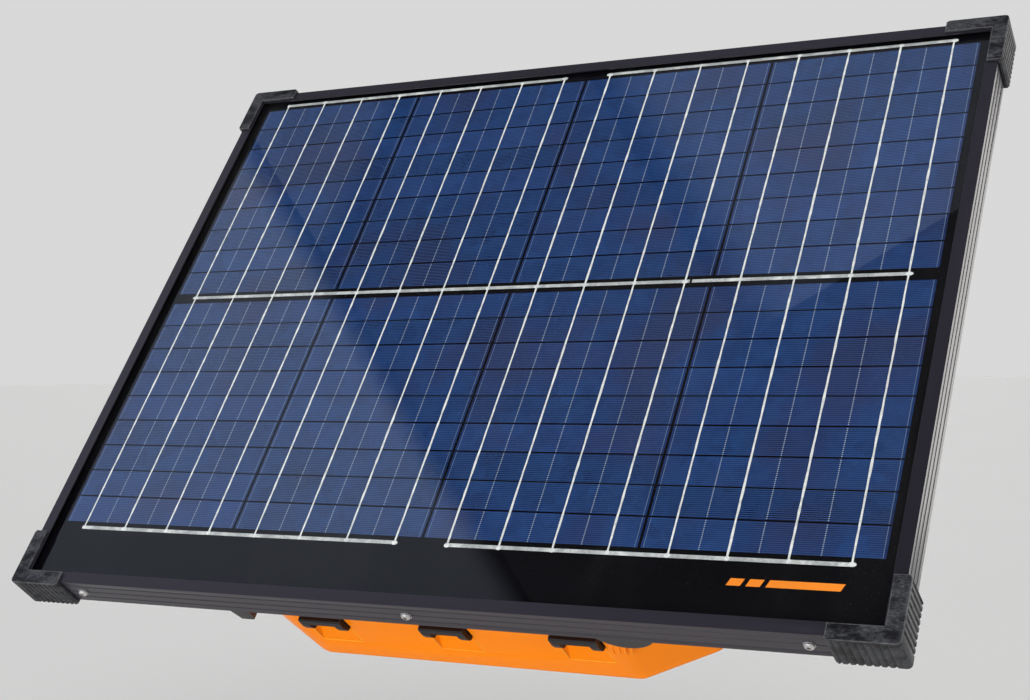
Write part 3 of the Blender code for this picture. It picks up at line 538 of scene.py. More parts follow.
def piece(name, bm, material, body, sharp=35.0):
    """A piece of the object from a shape in the case frame."""
    bmesh.ops.scale(bm, vec=(MM, MM, MM), verts=bm.verts[:])
    mesh = bpy.data.meshes.new(name)
    bm.to_mesh(mesh)
    bm.free()
    mesh.materials.append(MATERIALS[material])
    mesh.shade_smooth()
    mesh.set_sharp_from_angle(angle=math.radians(sharp))
    obj = bpy.data.objects.new(name, mesh)
    bpy.context.scene.collection.objects.link(obj)
    obj.matrix_world = CASE
    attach(obj, body)
    return obj


def node_shape(node):
    """A CAD node's shape in the case frame, in millimetres, with its flat faces whole again."""
    bm = bmesh.new()
    bm.from_mesh(NODES[node].data)
    bmesh.ops.transform(bm, matrix=Matrix.Scale(1000, 4) @ TO_CASE, verts=bm.verts[:])
    bmesh.ops.remove_doubles(bm, verts=bm.verts[:], dist=0.002)
    bmesh.ops.dissolve_limit(
        bm, angle_limit=math.radians(0.6), verts=bm.verts[:], edges=bm.edges[:]
    )
    return bm


def body_of(node):
    return next(b for b, names in frame["record"]["behaviour"]["bodies"].items() if node in names)


def rounded(node, width, material, segments=2, angle=28.0):
    """A copy of a CAD node with its edges rounded, which stands for it."""
    obj = piece(f"{node}_finished", node_shape(node), material, body_of(node), sharp=40.0)
    bevel = obj.modifiers.new("edges", "BEVEL")
    bevel.width = width * MM
    bevel.segments = segments
    bevel.limit_method = "ANGLE"
    bevel.angle_limit = math.radians(angle)
    bevel.harden_normals = True
    bevel.use_clamp_overlap = True
    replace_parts(obj, node)
    return obj


def stand_in(node, bm, material):
    """A new shape that stands for a CAD node."""
    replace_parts(piece(f"{node}_finished", bm, material, body_of(node)), node)


def turn_mesh(obj):
    """Turns the mesh instead of the object, which makes its box tight in the model's frame."""
    obj.data.transform(CASE)
    obj.matrix_world = Matrix.Identity(4)


def finish_node(node, material):
    """Gives a CAD node that keeps its own shape its finish."""
    obj = NODES[node]
    obj.data.materials.clear()
    obj.data.materials.append(MATERIALS[material])
    obj.data.shade_smooth()
    obj.data.set_sharp_from_angle(angle=math.radians(35))


# ---- Panel


def make_cells():
    random.seed(7)
    shapes, tones = [], []
    for column in range(4):
        left = BLOCK_LEFT + CELL_PITCH * column
        for top in (UPPER_TOP, LOWER_TOP):
            for row in range(STRIPS):
                high = top - STRIP_PITCH * row
                strip = block(
                    (left, left + CELL_WIDTH), (high - STRIP_HEIGHT, high), (0.02, 0.08)
                )
                tones += [random.random()] * len(strip.verts)
                shapes.append(strip)
    strips = piece("cell_strips", merged(shapes), "cell", "panel_lid")
    attribute = strips.data.attributes.new("tone", "FLOAT", "POINT")
    attribute.data.foreach_set("value", tones)


def ribbon(x, low, high):
    """A soldered ribbon: flat, with small kinks where it crosses from strip to strip."""
    bm = bmesh.new()
    count = int((high - low) / RIBBON_STEP)
    rows = []
    for i in range(count + 1):
        y = low + (high - low) * i / count
        shift = random.uniform(-0.09, 0.09)
        half = RIBBON_WIDTH / 2 + random.uniform(-0.06, 0.10) + random.choice((0, 0, 0, 0.2))
        lift = 0.15 + random.uniform(0, 0.03)
        rows.append([
            bm.verts.new((x + shift - half, y, 0.09)),
            bm.verts.new((x + shift - half * 0.55, y, lift)),
            bm.verts.new((x + shift + half * 0.55, y, lift)),
            bm.verts.new((x + shift + half, y, 0.09)),
        ])
    for first, second in zip(rows, rows[1:]):
        for k in range(3):
            bm.faces.new((first[k], first[k + 1], second[k + 1], second[k]))
        bm.faces.new((first[3], first[0], second[0], second[3]))
    bm.faces.new(rows[0])
    bm.faces.new(list(reversed(rows[-1])))
    bmesh.ops.recalc_face_normals(bm, faces=bm.faces[:])
    return bm


def bus(left, right, y):
    return block((left, right), (y - BUS_WIDTH / 2, y + BUS_WIDTH / 2), (0.10, 0.21), 0.04, 1)


def make_conductors():
    random.seed(11)
    shapes = []
    for x in RIBBONS:
        shapes.append(ribbon(x, BUS_Y["middle"], BUS_Y["top"]))
        shapes.append(ribbon(x, BUS_Y["bottom"], BUS_Y["middle"]))
    piece("cell_ribbons", merged(shapes), "ribbon", "panel_lid", sharp=30.0)
    first, eighth, ninth, twelfth, last = (RIBBONS[i] for i in (0, 7, 8, 11, 15))
    past = 1.5
    buses = [bus(first - past, twelfth + 3.5, BUS_Y["middle"])]
    buses.append(bus(twelfth + 5.2, last + past, BUS_Y["middle"]))
    for y in (BUS_Y["top"], BUS_Y["bottom"]):
        buses += [bus(first - past, eighth + past, y), bus(ninth - past, last + past, y)]
    blobs = []
    for x in RIBBONS:
        for y in BUS_Y.values():
            blob = turned(((0, 0.26), (1.2, 0.25), (2.1, 0.2), (2.4, 0.12)), 14)
            bmesh.ops.scale(blob, vec=(random.uniform(0.8, 1.3), 0.7, 1), verts=blob.verts[:])
            place = (x + random.uniform(-0.3, 0.3), y + random.uniform(-0.3, 0.3), 0)
            blobs.append(moved(blob, place))
    piece("solder_pads", merged(blobs), "ribbon", "panel_lid")
    piece("cell_buses", merged(buses), "bus", "panel_lid", sharp=30.0)


def make_mark():
    """A plain printed accent in the panel's lower right corner."""
    shapes = []
    y, half, slant = -217, 2.5, 0.45
    for x, width in ((222, 9), (234.5, 9), (247, 46)):
        bm = block((x, x + width), (y - half, y + half), (0.02, 0.10))
        for vert in bm.verts:
            vert.co.x += (vert.co.y - y) * slant
        shapes.append(bm)
    piece("accent_mark", merged(shapes), "mark", "panel_lid")


def make_panel():
    finish_node("solar_glass", "glass")
    finish_node("cell_layer", "backing")
    finish_node("back_sheet", "backing")
    finish_node("glass_seal", "rubber")
    make_cells()
    make_conductors()
    make_mark()
    for side in ("bottom", "top"):
        rounded(f"frame_rail_{side}", 0.35, "rail_x")
    for side in ("left", "right"):
        rounded(f"frame_rail_{side}", 0.35, "rail_y")
    for vertical in ("top", "bottom"):
        for horizontal in ("left", "right"):
            rounded(
                f"corner_cap_{vertical}_{horizontal}", 0.45, "cap", 3
            )


SOCKET_DEPTH = 0.45


def hex_socket_head(radius, height, socket):
    """A domed button head with a hexagon socket, standing on z = 0."""
    head = turned((
        (0, height * SOCKET_DEPTH),
        (socket, height * SOCKET_DEPTH),
        (socket * 1.02, height * 0.97),
        (socket * 1.12, height),
        (radius * 0.72, height * 0.86),
        (radius * 0.92, height * 0.52),
        (radius, height * 0.14),
        (radius * 0.985, 0.0),
    ), 36)
    for vert in head.verts:
        distance = vert.co.xy.length
        if 0 < distance < socket * 1.05:
            angle = math.atan2(vert.co.y, vert.co.x)
            wedge = (angle % (math.pi / 3)) - math.pi / 6
            vert.co.xy *= math.cos(math.pi / 6) / math.cos(wedge)
    return head


def socket_shade_disc(height, socket):
    """A dark disc on the bottom of a hexagon socket: painted shade."""
    radius, top = socket * 0.86, height * SOCKET_DEPTH + 0.06
    return turned(((0, top), (radius, top), (radius, top - 0.16)), 6)


FRAME_SCREW_HEAD = {"radius": 3.6, "height": 2.2, "socket": 1.35}
RAIL_FACE = 251.05


def make_frame_screws():
    """The heads, their washers and their sockets, in the outsides of the top and bottom rails."""
    socket_shade_discs = []
    height, socket = FRAME_SCREW_HEAD["height"], FRAME_SCREW_HEAD["socket"]
    for node in [n for n in NODES if n.startswith("frame_screw")]:
        low, high = (TO_CASE @ corner * 1000 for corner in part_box(node))
        side = 1 if "top" in node else -1
        x = (low.x + high.x) / 2
        shape = node_shape(node)
        heights = [v.co.z for v in shape.verts]
        z = (min(heights) + max(heights)) / 2
        shape.free()
        turn = (-90 * side, 0, 0)
        foot, seat = (x, side * RAIL_FACE, z), (x, side * (RAIL_FACE + 0.3), z)
        parts = [
            moved(hex_socket_head(**FRAME_SCREW_HEAD), seat, turn),
            moved(turned(((3.9, 0.3), (3.95, 0.15), (3.9, 0.0)), 32), foot, turn),
        ]
        stand_in(node, merged(parts), "steel")
        # A dark disc on the socket's bottom: painted shade.
        socket_shade_discs.append(moved(socket_shade_disc(height, socket), seat, turn))
    piece("frame_screw_socket_shades", merged(socket_shade_discs), "socket", "panel_lid")


# ---- Case, back and fixings


LATCHES = ("left", "centre", "right")
SCOOP_HALF_WIDTH, SCOOP_TOP, BELOW_SCOOP = 17.3, -75.5, -98.0


def scoop_highlight_bead(label, surface):
    """The lip round the finger scoop of a latch, along its sides and its lower end, lighter as a
    painted highlight.
    """
    low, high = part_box(f"latch_{label}")
    x = (low.x + high.x) / 2 / MM
    beside = x + 22.0  # on the plain wall

    def wall(across, z):
        return surface.ray_cast(Vector((across, -260.0, z)), Vector((0, 1, 0)))[0].y

    end = BELOW_SCOOP
    while wall(x, end) < wall(beside, end) + 0.06 and end < -80.0:
        end += 0.2
    left, right = x - SCOOP_HALF_WIDTH, x + SCOOP_HALF_WIDTH
    corners = [(left, SCOOP_TOP), (left, end), (right, end), (right, SCOOP_TOP)]
    route, steps = [], 8
    for (x0, z0), (x1, z1) in zip(corners, corners[1:]):
        for i in range(steps):
            route.append((x0 + (x1 - x0) * i / steps, z0 + (z1 - z0) * i / steps))
    route.append(corners[-1])
    return tube([(across, wall(beside, z) + 0.12, z) for across, z in route], 0.42, 8)


def make_case():
    shell = node_shape("case_shell")
    surface = BVHTree.FromBMesh(shell)
    # Lighter orange beads along the scoops' edges: a painted highlight.
    highlight_beads = [scoop_highlight_bead(label, surface) for label in LATCHES]
    shell.free()
    piece("finger_scoop_highlight_beads", merged(highlight_beads), "orange_highlight", "case")
    turn_mesh(rounded("case_shell", 0.5, "orange", 2))
    turn_mesh(rounded("panel_back_plate", 0.4, "tray", 2))
    for label in LATCHES:
        rounded(f"latch_{label}", 0.7, "black", 3)
        finish_node(f"latch_pin_{label}", "steel")
    finish_node("case_seal", "rubber")
    finish_node("hinge_pin", "steel")

    ridges = []
    for i in range(4):
        ridge = block((-0.8, 0.8), (-0.5, 0.35), (-10, 10), 0.35)
        ridges.append(moved(ridge, (123 + 4.6 * i, -231.35, -68), (-1.8, 12, 0)))
    piece("case_ridges", merged(ridges), "orange", "case")

    ribs, pads = [], []
    back = (-121.3, -119.5)
    for side in (-1, 1):
        for i in range(5):
            x = side * (72 + 24 * i)
            ribs.append(block((x - 2, x + 2), (-188, 16), back, 0.6))
        for y in (-190, 18):
            ribs.append(block(sorted((side * 66, side * 174)), (y - 2, y + 2), back, 0.6))
        for i in range(9):
            z = -36 - 3.4 * i
            low, high = sorted((side * (192.975 - 0.225 * i), side * (194.1 - 0.23 * i)))
            pads.append(block((low - 0.3, high + 0.3), (-12, 30), (z - 0.8, z + 0.8), 0.35))
    piece("case_back_ribs", merged(ribs), "orange", "case")
    piece("case_side_grips", merged(pads), "orange", "case")


def thread(radius, pitch, length, sides=28):
    """A threaded shank down from z = 0."""
    profile = [(0, 0), (radius * 0.82, 0)]
    turns = int(length / pitch)
    for i in range(turns):
        top = -pitch * i
        profile += [(radius * 0.84, top - 0.1 * pitch), (radius, top - 0.45 * pitch),
                    (radius, top - 0.55 * pitch), (radius * 0.84, top - 0.9 * pitch)]
    profile += [(radius * 0.8, -length), (0, -length)]
    return turned(profile, sides)


def washer(radius, bore, thick):
    profile = [(bore, thick), (radius - 0.25, thick), (radius, thick - 0.25), (radius, 0.0)]
    return turned(profile, 36)


def make_bracket():
    turn_mesh(rounded("post_bracket", 0.5, "powder", 2))
    height, socket = 4.0, 2.3
    for number, (x, y) in enumerate(((-43, -102), (43, -102), (-43, 22), (43, 22)), 1):
        place, turn = (x, y, -124.6), (180, 0, 0)
        parts = [
            hex_socket_head(5.6, height, socket), washer(6.4, 3.2, 0.8), thread(2.9, 1.0, 11.3)
        ]
        bolt = moved(merged(parts), place, turn)
        stand_in(f"bracket_bolt_{number}", bolt, "steel")
        # A dark disc on the socket's bottom: painted shade.
        floor = moved(socket_shade_disc(height, socket), place, turn)
        piece(f"bracket_bolt_{number}_socket", floor, "socket", "case")


def ring(radius, inner, thick, sides=40):
    """A flat ring about Z, standing on z = 0."""
    bm = bmesh.new()
    loops = []
    for reach, height in ((inner, 0), (inner, thick), (radius, thick), (radius, 0)):
        loops.append([bm.verts.new((x, y, height)) for x, y in circle(reach, sides)])
    for k in range(4):
        first, second = loops[k], loops[(k + 1) % 4]
        for i in range(sides):
            j = (i + 1) % sides
            bm.faces.new((first[i], first[j], second[j], second[i]))
    bmesh.ops.recalc_face_normals(bm, faces=bm.faces[:])
    return bm


SELECTOR, LIGHT = (-48.0, -72.0), (-95.0, -72.0)
TERMINALS = {"fence": ("knob_red", -110.0, -72.5), "earth": ("knob_green", -70.0, -72.5)}
FASCIA_FACE, BLOCK_FACE = 196.95, -197.0
OUT_RIGHT, OUT_LEFT = (0, 90, 0), (0, -90, 0)


def make_controls():
    for node, width in (("control_fascia", 0.3), ("terminal_block", 0.3), ("selector_knob", 0.4)):
        rounded(node, width, "black")
    finish_node("selector_switch", "black")
    finish_node("status_light", "lens")

    y, z = SELECTOR
    mark = block((211.0, 211.25), (y - 0.9, y + 0.9), (z + 1.5, z + 10.3), 0.1, 1)
    piece("selector_mark", mark, "print", "selector_knob")
    marks = []
    for i in range(7):
        angle = math.radians(60 - 20 * i)
        size = 0.8 + 0.16 * i
        dot = turned(((0, 0.2), (size, 0.2), (size, 0.0)), 20)
        place = (FASCIA_FACE, y + 18 * math.sin(angle), z + 18 * math.cos(angle))
        marks.append(moved(dot, place, OUT_RIGHT))
    marks.append(moved(ring(6.4, 5.8, 0.2), (FASCIA_FACE, *LIGHT), OUT_RIGHT))
    piece("dial_marks", merged(marks), "print", "case")
    bezel = moved(ring(5.6, 4.05, 1.1), (FASCIA_FACE - 0.15, *LIGHT), OUT_RIGHT)
    piece("light_bezel", bezel, "steel", "case")

    for label, (colour, y, z) in TERMINALS.items():
        rounded(f"{label}_knob", 0.4, colour)
        stud = moved(thread(2.9, 0.8, 46.8), (-219.0, y, z), OUT_LEFT)
        stand_in(f"{label}_stud", stud, "steel")
        plate = moved(ring(9.5, 3.4, 0.8), (BLOCK_FACE, y, z), OUT_LEFT)
        piece(f"{label}_washer", plate, "steel", "case")
        collar = moved(ring(14.0, 12.6, 0.5), (BLOCK_FACE + 0.2, y, z), OUT_LEFT)
        piece(f"{label}_ring", collar, colour, "case")


def pan_head(place, radius, height):
    head = turned((
        (0, height), (radius * 0.35, height * 0.99), (radius * 0.8, height * 0.75),
        (radius, height * 0.3), (radius, 0),
    ), 28)
    return moved(head, place)


def pan_screws(places):
    """Small screws whose cross recesses are dark bars, painted shade, as stand-ins for the nodes
    that places has by name.
    """
    cross_shades = []
    for node, place in places.items():
        screw = merged([pan_head(place, 3.0, 2.0), moved(thread(1.3, 0.6, 4.9, 20), place)])
        stand_in(node, screw, "steel")
        # Two dark bars across each head stand for its cross recess: painted shade.
        for turn in (35, 125):
            bar = block((-1.7, 1.7), (-0.32, 0.32), (1.65, 1.95))
            cross_shades.append(moved(bar, place, (0, 0, turn)))
    kind = next(iter(places)).split("_screw")[0]
    piece(f"{kind}_screw_cross_shades", merged(cross_shades), "socket", "case")


def make_batteries():
    for label, side in (("left", -1), ("right", 1)):
        node = f"battery_{label}"
        rounded(node, 0.8, "battery", 2)
        low, high = sorted((side * 1.8, side * 153.2))
        lid = block((low, high), (-127.0, -113.8), (-116.9, -51.55), 1.6)
        piece(f"{node}_lid", lid, "battery_lid", "case")
        middle = (low + high) / 2
        vent = [block((middle - 52, middle + 52), (-113.9, -113.3), (-102, -92), 0.2)]
        for i in range(6):
            left = middle - 50 + 17 * i
            vent.append(block((left, left + 15), (-113.5, -113.05), (-100.5, -93.5), 0.15))
        ridges = [
            block((low + 8, high - 8), (y - 0.5, y + 0.5), (-51.8, -51.45), 0.15)
            for y in (-202, -198, -136, -132)
        ]
        mouldings = merged(vent + ridges)
        piece(f"{node}_mouldings", mouldings, "battery_lid", "case")
        tabs = []
        for tab_x in (side * 30, side * 125):
            tabs.append(block((tab_x - 6, tab_x + 6), (-114.0, -112.6), (-81, -69), 0.4))
            tabs.append(block((tab_x - 3.1, tab_x + 3.1), (-113, -107.0), (-75.4, -74.6), 0.2))
        piece(f"{node}_terminals", merged(tabs), "foil", "case")
    sleeves = {"red": (30, -125), "black": (-30, 125)}
    for colour, places in sleeves.items():
        shapes = [
            block((x - 4.2, x + 4.2), (-112.4, -104.5), (-77.4, -72.6), 1.1) for x in places
        ]
        start, end = places
        level = -66 if colour == "red" else -60
        route = smooth_route((
            (start, -106, -75), (start, -101, -70), (start * 0.6 + end * 0.4, -101, level),
            (start * 0.3 + end * 0.7, -101.5, level), (end, -101, -71), (end, -106, -75),
        ))
        shapes.append(tube(route, 1.4))
        piece(
            f"battery_link_{colour}", merged(shapes), f"wire_{colour}", "case"
        )

    rounded("battery_strap", 0.3, "powder")
    pan_screws({
        "strap_screw_left": (-166.0, -161.0, -108.4), "strap_screw_right": (166.0, -161.0, -108.4)
    })
    pad = block((-140, 140), (-170, -152), (-51.7, -51.45), 0.1, 1)
    piece("strap_pad", pad, "rubber", "case")


BOARD_FRONT = -106.4


def legged_chip(x, y, size, legs, pitch):
    """A chip's resin body with its bent legs. Returns both."""
    wide, tall, high = size
    foot = BOARD_FRONT + 0.4
    body = block(
        (x - wide / 2, x + wide / 2), (y - tall / 2, y + tall / 2), (foot, foot + high), 0.3
    )
    pins = []
    for i in range(legs):
        px = x + (i - (legs - 1) / 2) * pitch
        for side in (-1, 1):
            reach = sorted((y + side * tall / 2, y + side * (tall / 2 + 1.1)))
            height = (BOARD_FRONT + 0.05, foot + high * 0.55)
            pins.append(block((px - 0.25, px + 0.25), reach, height, 0.08, 1))
    return body, pins


def resistor(x, y, length, radius):
    """A resistor's or diode's body, lying along X."""
    half = [
        (0, length / 2), (radius * 0.8, length / 2), (radius, length * 0.42),
        (radius, length * 0.3), (radius * 0.86, length * 0.24),
    ]
    profile = half + [(reach, -height) for reach, height in reversed(half)]
    return moved(turned(profile, 18), (x, y, BOARD_FRONT + 1.7), (0, 90, 0))


def lead_frame(x, y, reach):
    """A resistor's or diode's two bent wires."""
    z = BOARD_FRONT
    wires = []
    for start, end in ((x - 3, x - reach), (x + 3, x + reach)):
        wires.append(tube([(start, y, z + 1.7), (end, y, z + 1.7), (end, y, z)], 0.3, 8))
    return wires


def make_board():
    finish_node("circuit_board", "board")
    bodies, pins = [], []
    for x, y, size, legs, pitch in (
        (44, -38, (12, 7, 3.2), 4, 2.54), (44, -56, (10, 6, 1.8), 8, 1.2),
        (-142, -50, (6, 9, 2), 2, 2.5), (-60, 5, (9, 6, 1.8), 7, 1.2),
        (-90, -86, (6.5, 5, 1.6), 4, 1.3),
    ):
        body, legs_made = legged_chip(x, y, size, legs, pitch)
        bodies.append(body)
        pins += legs_made
    piece("board_chips", merged(bodies), "chip", "case")
    resistors = [
        (-52, -84), (-38, -84), (-24, -84), (-10, -84), (4, -84), (-52, -76), (-38, -76),
        (-24, -76), (-60, -12), (-60, -18),
    ]
    diodes = [(-10, -70), (4, -70), (-38, -68), (-24, -68)]
    for name, spots, length, radius, material in (
        ("board_resistors", resistors, 7.0, 1.15, "white_part"),
        ("board_diodes", diodes, 6.0, 1.3, "chip"),
    ):
        parts = []
        for x, y in spots:
            parts.append(resistor(x, y, length, radius))
            pins += lead_frame(x, y, 5)
        piece(name, merged(parts), material, "case")
    piece("board_pins", merged(pins), "foil", "case")

    cans = []
    for x, y, radius, height in (
        (50, -20, 4, 12), (50, 2, 5, 14), (36, 6, 3.2, 9), (30, -58, 3.2, 9)
    ):
        can = turned((
            (0, height), (radius * 0.7, height), (radius * 0.95, height - 0.1),
            (radius, height - 0.5), (radius, 2.2), (radius * 0.92, 1.6), (radius, 1.0),
            (radius, 0.3), (0, 0.3),
        ), 28)
        cans.append(moved(can, (x, y, BOARD_FRONT)))
    piece("board_small_cans", merged(cans), "sleeve", "case")
    relay = [
        block((-40, -21), (-8, 7), (BOARD_FRONT + 0.1, BOARD_FRONT + 15), 0.8),
        block((-39, -22), (-7, 6), (BOARD_FRONT + 14.8, BOARD_FRONT + 15.3), 0.2),
    ]
    piece("board_relay", merged(relay), "sleeve", "case")
    blocks = []
    foot = BOARD_FRONT + 0.1
    body, ridge = (foot, BOARD_FRONT + 9), (foot, BOARD_FRONT + 9.6)
    for x, y in ((31, -77), (42, -9)):
        blocks.append(block((x - 17.4, x + 17.4), (y - 5.5, y + 5.5), body, 0.6))
        for fin in (x - 10.5, x - 3.5, x + 3.5, x + 10.5):
            blocks.append(block((fin - 0.4, fin + 0.4), (y - 5.8, y + 5.8), ridge, 0.2, 1))
    piece("board_connectors", merged(blocks), "knob_green", "case")
    coil, turns = [ring(9, 4.5, 7)], 22
    for i in range(turns):
        angles = (2 * math.pi * k / 10 for k in range(11))
        path = [(6.75 + 3.0 * math.cos(t), 0, 3.5 + 4.2 * math.sin(t)) for t in angles]
        coil.append(moved(tube(path, 0.62, 8), turn=(0, 0, 360 * i / turns)))
    toroid = moved(merged(coil), (-8, 5, BOARD_FRONT + 1.0))
    piece("board_choke", toroid, "copper", "case")

    corners = enumerate([(-142, -85), (52, -85), (-142, 7), (52, 7)], 1)
    pan_screws({f"board_screw_{n}": (*corner, BOARD_FRONT + 0.3) for n, corner in corners})


def make_power_parts():
    foot = BOARD_FRONT + 0.3
    core = [block((-132, -68), (-70, -10), (foot, foot + 30), 0.5)]
    for i in range(19):
        z = foot + 1.5 * (i + 1)
        core.append(block((-132.15, -67.85), (-70.15, -9.85), (z, z + 0.7), 0.05, 1))
    for x in (-127, -73):
        for y in (-65, -15):
            core.append(pan_head((x, y, foot + 30), 2.4, 1.4))
    core = piece("transformer_core", merged(core), "core", "case")
    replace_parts(core, "pulse_transformer")
    winding = [
        block((-124, -76), (-78, -2), (foot + 4, foot + 26), 5.0, 4),
        block((-110, -90), (-78.3, -1.7), (foot + 3.7, foot + 26.3), 5.0, 4),
    ]
    piece("transformer_winding", merged(winding), "tape", "case")
    turns = []
    for i in (*range(7), *range(24, 31)):  # on each side of the tape's middle band
        x = -123 + 1.5 * i
        turns.append(block((x, x + 1.2), (-78.2, -1.8), (foot + 3.9, foot + 26.1), 5.0, 3))
    piece("transformer_wire", merged(turns), "copper", "case")

    for number, x in enumerate((-38, 4), 1):
        place = (x, -40, foot)
        can = turned((
            (0, 49.2), (13.6, 49.2), (14.2, 50.0), (15.6, 50.0), (16.9, 49.4), (17.5, 48.2),
            (17.5, 5.2), (16.9, 4.4), (16.9, 3.6), (17.5, 2.8), (17.5, 1.0), (16.6, 0.0), (0, 0),
        ), 56)
        stand_in(f"storage_capacitor_{number}", moved(can, place), "sleeve")
        top = turned(((0, 49.5), (13.4, 49.5), (13.6, 49.1), (13.6, 49.0)), 48)
        piece(f"capacitor_top_{number}", moved(top, place), "foil", "case")
        # Two dark bars across the top stand for the scored vent grooves: painted shade.
        vent_shades = []
        for turn in (45, 135):
            groove = block((-9, 9), (-0.45, 0.45), (49.45, 49.6), 0.05, 1)
            vent_shades.append(moved(groove, place, (0, 0, turn)))
        piece(f"capacitor_vent_{number}", merged(vent_shades), "socket", "case")
        stripe = bmesh.new()
        arc = circle(17.56, 72)[14:23]
        lower, upper = ([stripe.verts.new((*spot, z)) for spot in arc] for z in (6.0, 47.5))
        for k in range(len(arc) - 1):
            stripe.faces.new((lower[k], lower[k + 1], upper[k + 1], upper[k]))
        bmesh.ops.solidify(stripe, geom=stripe.faces[:], thickness=0.08)
        piece(f"capacitor_stripe_{number}", moved(stripe, place), "stripe", "case")


def make_junction_box():
    rounded("junction_box", 0.5, "black", 2)
    lid = [
        block((-42.5, 42.5), (72.5, 127.5), (-15.35, -14.8), 0.25),
        block((-36, 36), (79, 121), (-15.6, -15.2), 0.2),
    ]
    piece("junction_box_lid", merged(lid), "black", "panel_lid")
    gland = merged([ring(3.6, 1.9, 4.0, 24), ring(4.4, 1.9, 1.6, 6)])
    gland = moved(gland, (30, 70.2, -9), (90, 0, 0))
    piece("junction_box_gland", gland, "rubber", "panel_lid")


def make_leads():
    for node, material in (
        ("battery_lead_red", "wire_red"), ("battery_lead_black", "wire_black"),
        ("panel_lead_case", "wire_black"), ("panel_lead_lid", "wire_black"),
    ):
        finish_node(node, material)


# ---- Floor, light and camera


COOL, NEUTRAL = (0.90, 0.95, 1.15, 1), (1.02, 1.0, 0.96, 1)


def softbox(name, centre, across, along, strength, soft, colour=COOL):
    """A glowing card, seen only in reflections. Its light fades in across the share soft."""
    bm = bmesh.new()
    bmesh.ops.create_grid(bm, x_segments=8, y_segments=8, size=1.0)
    for vert in bm.verts:
        vert.co = centre + across * vert.co.x + along * vert.co.y
    mesh = bpy.data.meshes.new(name)
    bm.to_mesh(mesh)
    bm.free()
    share = mesh.attributes.new("share", "FLOAT", "POINT")
    unit = across.normalized() / across.length
    values = [(v.co - centre).dot(unit) * 0.5 + 0.5 for v in mesh.vertices]
    share.data.foreach_set("value", values)
    obj = bpy.data.objects.new(name, mesh)
    bpy.context.scene.collection.objects.link(obj)
    material, tree, shader = blank(name)
    tree.nodes.remove(shader)
    place = add(tree, "Attribute", attribute_name="share").outputs["Fac"]
    level = spread(tree, place, 0.0, soft, 0.0, strength, True)
    glow = add(tree, "Emission", {"Color": colour, "Strength": level})
    tree.links.new(glow.outputs[0], tree.nodes["Material Output"].inputs["Surface"])
    mesh.materials.append(material)
    obj.visible_camera = obj.visible_shadow = obj.visible_diffuse = False


def make_softboxes():
    """The edges that the front glass mirrors, and the light on the right rail."""
    mirror = Vector((-0.47, -0.23, 0.85)).normalized()
    along = Vector((0.44, -0.9, 0.0)).normalized()
    across = mirror.cross(along)
    centre = PANEL_CENTRE + mirror * 2.2
    softbox("left_softbox", centre - across * 1.50, across * -1.25, along * 2.2, 0.50, 0.03)
    softbox(
        "right_softbox", centre + across * 1.0 - along * 0.65, across * 0.6, along * 0.9, 0.34,
        0.12,
    )
    beside = PANEL_CENTRE + Vector((1.15, 2.0, 0.05))
    softbox(
        "side_softbox", beside, Vector((0.55, -0.3, 0)), Vector((0, 0, 0.5)), 2.8, 0.1, NEUTRAL
    )
    tilt = CASE.to_3x3()
    softbox(
        "far_softbox", CASE @ Vector((-4.43, 4.28, 4.0)), tilt @ Vector((-0.68, 0, 0)),
        tilt @ Vector((0, 0.72, 0)), 0.21, 0.22,
    )


def sun_light(name, towards, strength, spread_degrees):
    data = bpy.data.lights.new(name, "SUN")
    data.energy = strength
    data.angle = math.radians(spread_degrees)
    obj = bpy.data.objects.new(name, data)
    bpy.context.scene.collection.objects.link(obj)
    obj.rotation_euler = Vector(towards).to_track_quat("Z", "Y").to_euler()
    return obj


FLOOR_Z = -0.42
FLOOR_RADIUS = 60.0


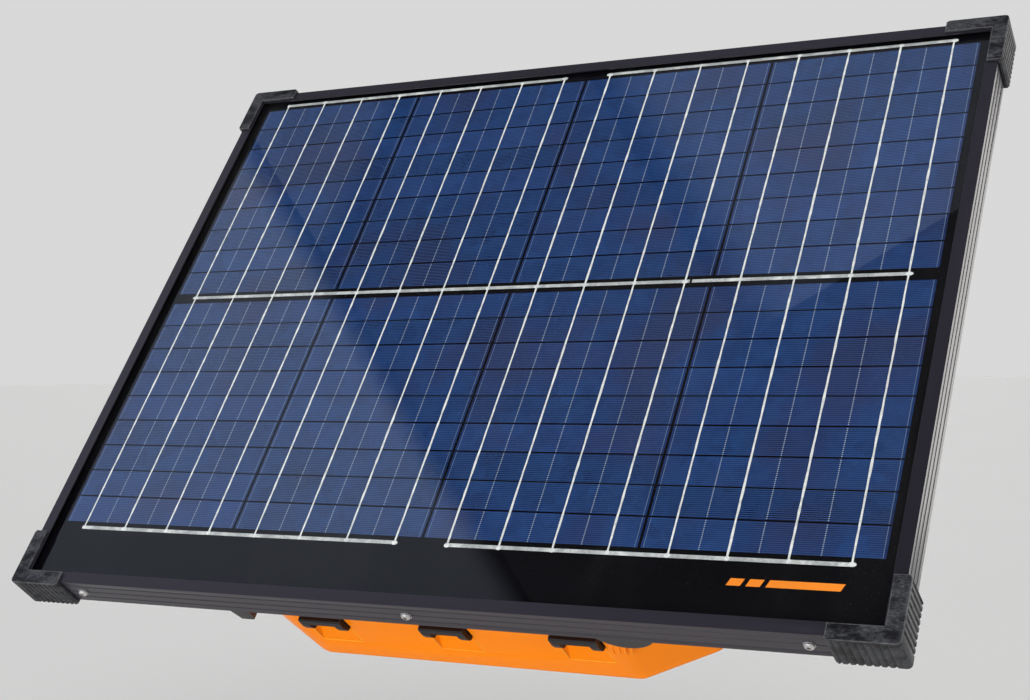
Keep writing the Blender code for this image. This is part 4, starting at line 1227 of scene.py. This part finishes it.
def make_stage():
    bm = bmesh.new()
    bmesh.ops.create_circle(bm, cap_ends=True, radius=FLOOR_RADIUS, segments=96)
    mesh = bpy.data.meshes.new("floor")
    bm.to_mesh(mesh)
    bm.free()
    floor = bpy.data.objects.new("floor", mesh)
    bpy.context.scene.collection.objects.link(floor)
    floor.location.z = FLOOR_Z
    mesh.materials.append(finished(
        "pale_floor", (0.72, 0.72, 0.715), 0.8, mottle=0.01, mottle_scale=0.7, grain=0.0001
    ))
    floor.visible_shadow = False

    world = bpy.data.worlds.new("studio")
    bpy.context.scene.world = world
    world.use_nodes = True
    tree = world.node_tree
    where = add(tree, "TexCoord").outputs["Generated"]
    height = add(tree, "SeparateXYZ", {0: where}).outputs[2]
    level = spread(tree, height, 0.22, 0.60, 0.69, 0.05, True)
    tree.links.new(level, tree.nodes["Background"].inputs["Color"])
    tree.nodes["Background"].inputs["Strength"].default_value = 1.0

    # No highlight, because the glass would mirror this lamp as a white board in some views.
    sun_light("key", (0.42, -0.66, 0.62), 2.5, 45).visible_glossy = False
    sun_light("behind", (-0.35, 0.75, 0.56), 1.1, 60)
    sun_light("low_front", (-0.20, -0.90, -0.30), 1.5, 28)


SENSOR, FOCAL_SHARE = 36.0, 1679.0 / 1030.0  # the focal length as a share of the image's width


def make_camera():
    """The camera's place and directions are in the case frame, in metres."""
    data = bpy.data.cameras.new("camera")
    data.sensor_width = SENSOR
    data.lens = FOCAL_SHARE * SENSOR
    data.clip_start = 0.05
    camera = bpy.data.objects.new("camera", data)
    bpy.context.scene.collection.objects.link(camera)
    right = Vector((0.8815, 0.2771, -0.3822))
    down = Vector((-0.0125, -0.7956, -0.6057))
    forward = Vector((-0.4719, 0.5387, -0.6979))
    turn = Matrix((right, -down, -forward)).transposed().to_4x4()
    place = Matrix.Translation(Vector((0.58707, -0.685435, 0.837676)))
    camera.matrix_world = CASE @ place @ turn
    bpy.context.scene.camera = camera


bpy.context.scene.view_settings.view_transform = "Standard"
make_panel()
make_frame_screws()
make_case()
make_bracket()
make_controls()
make_batteries()
make_board()
make_power_parts()
make_junction_box()
make_leads()
make_stage()
make_softboxes()
make_camera()
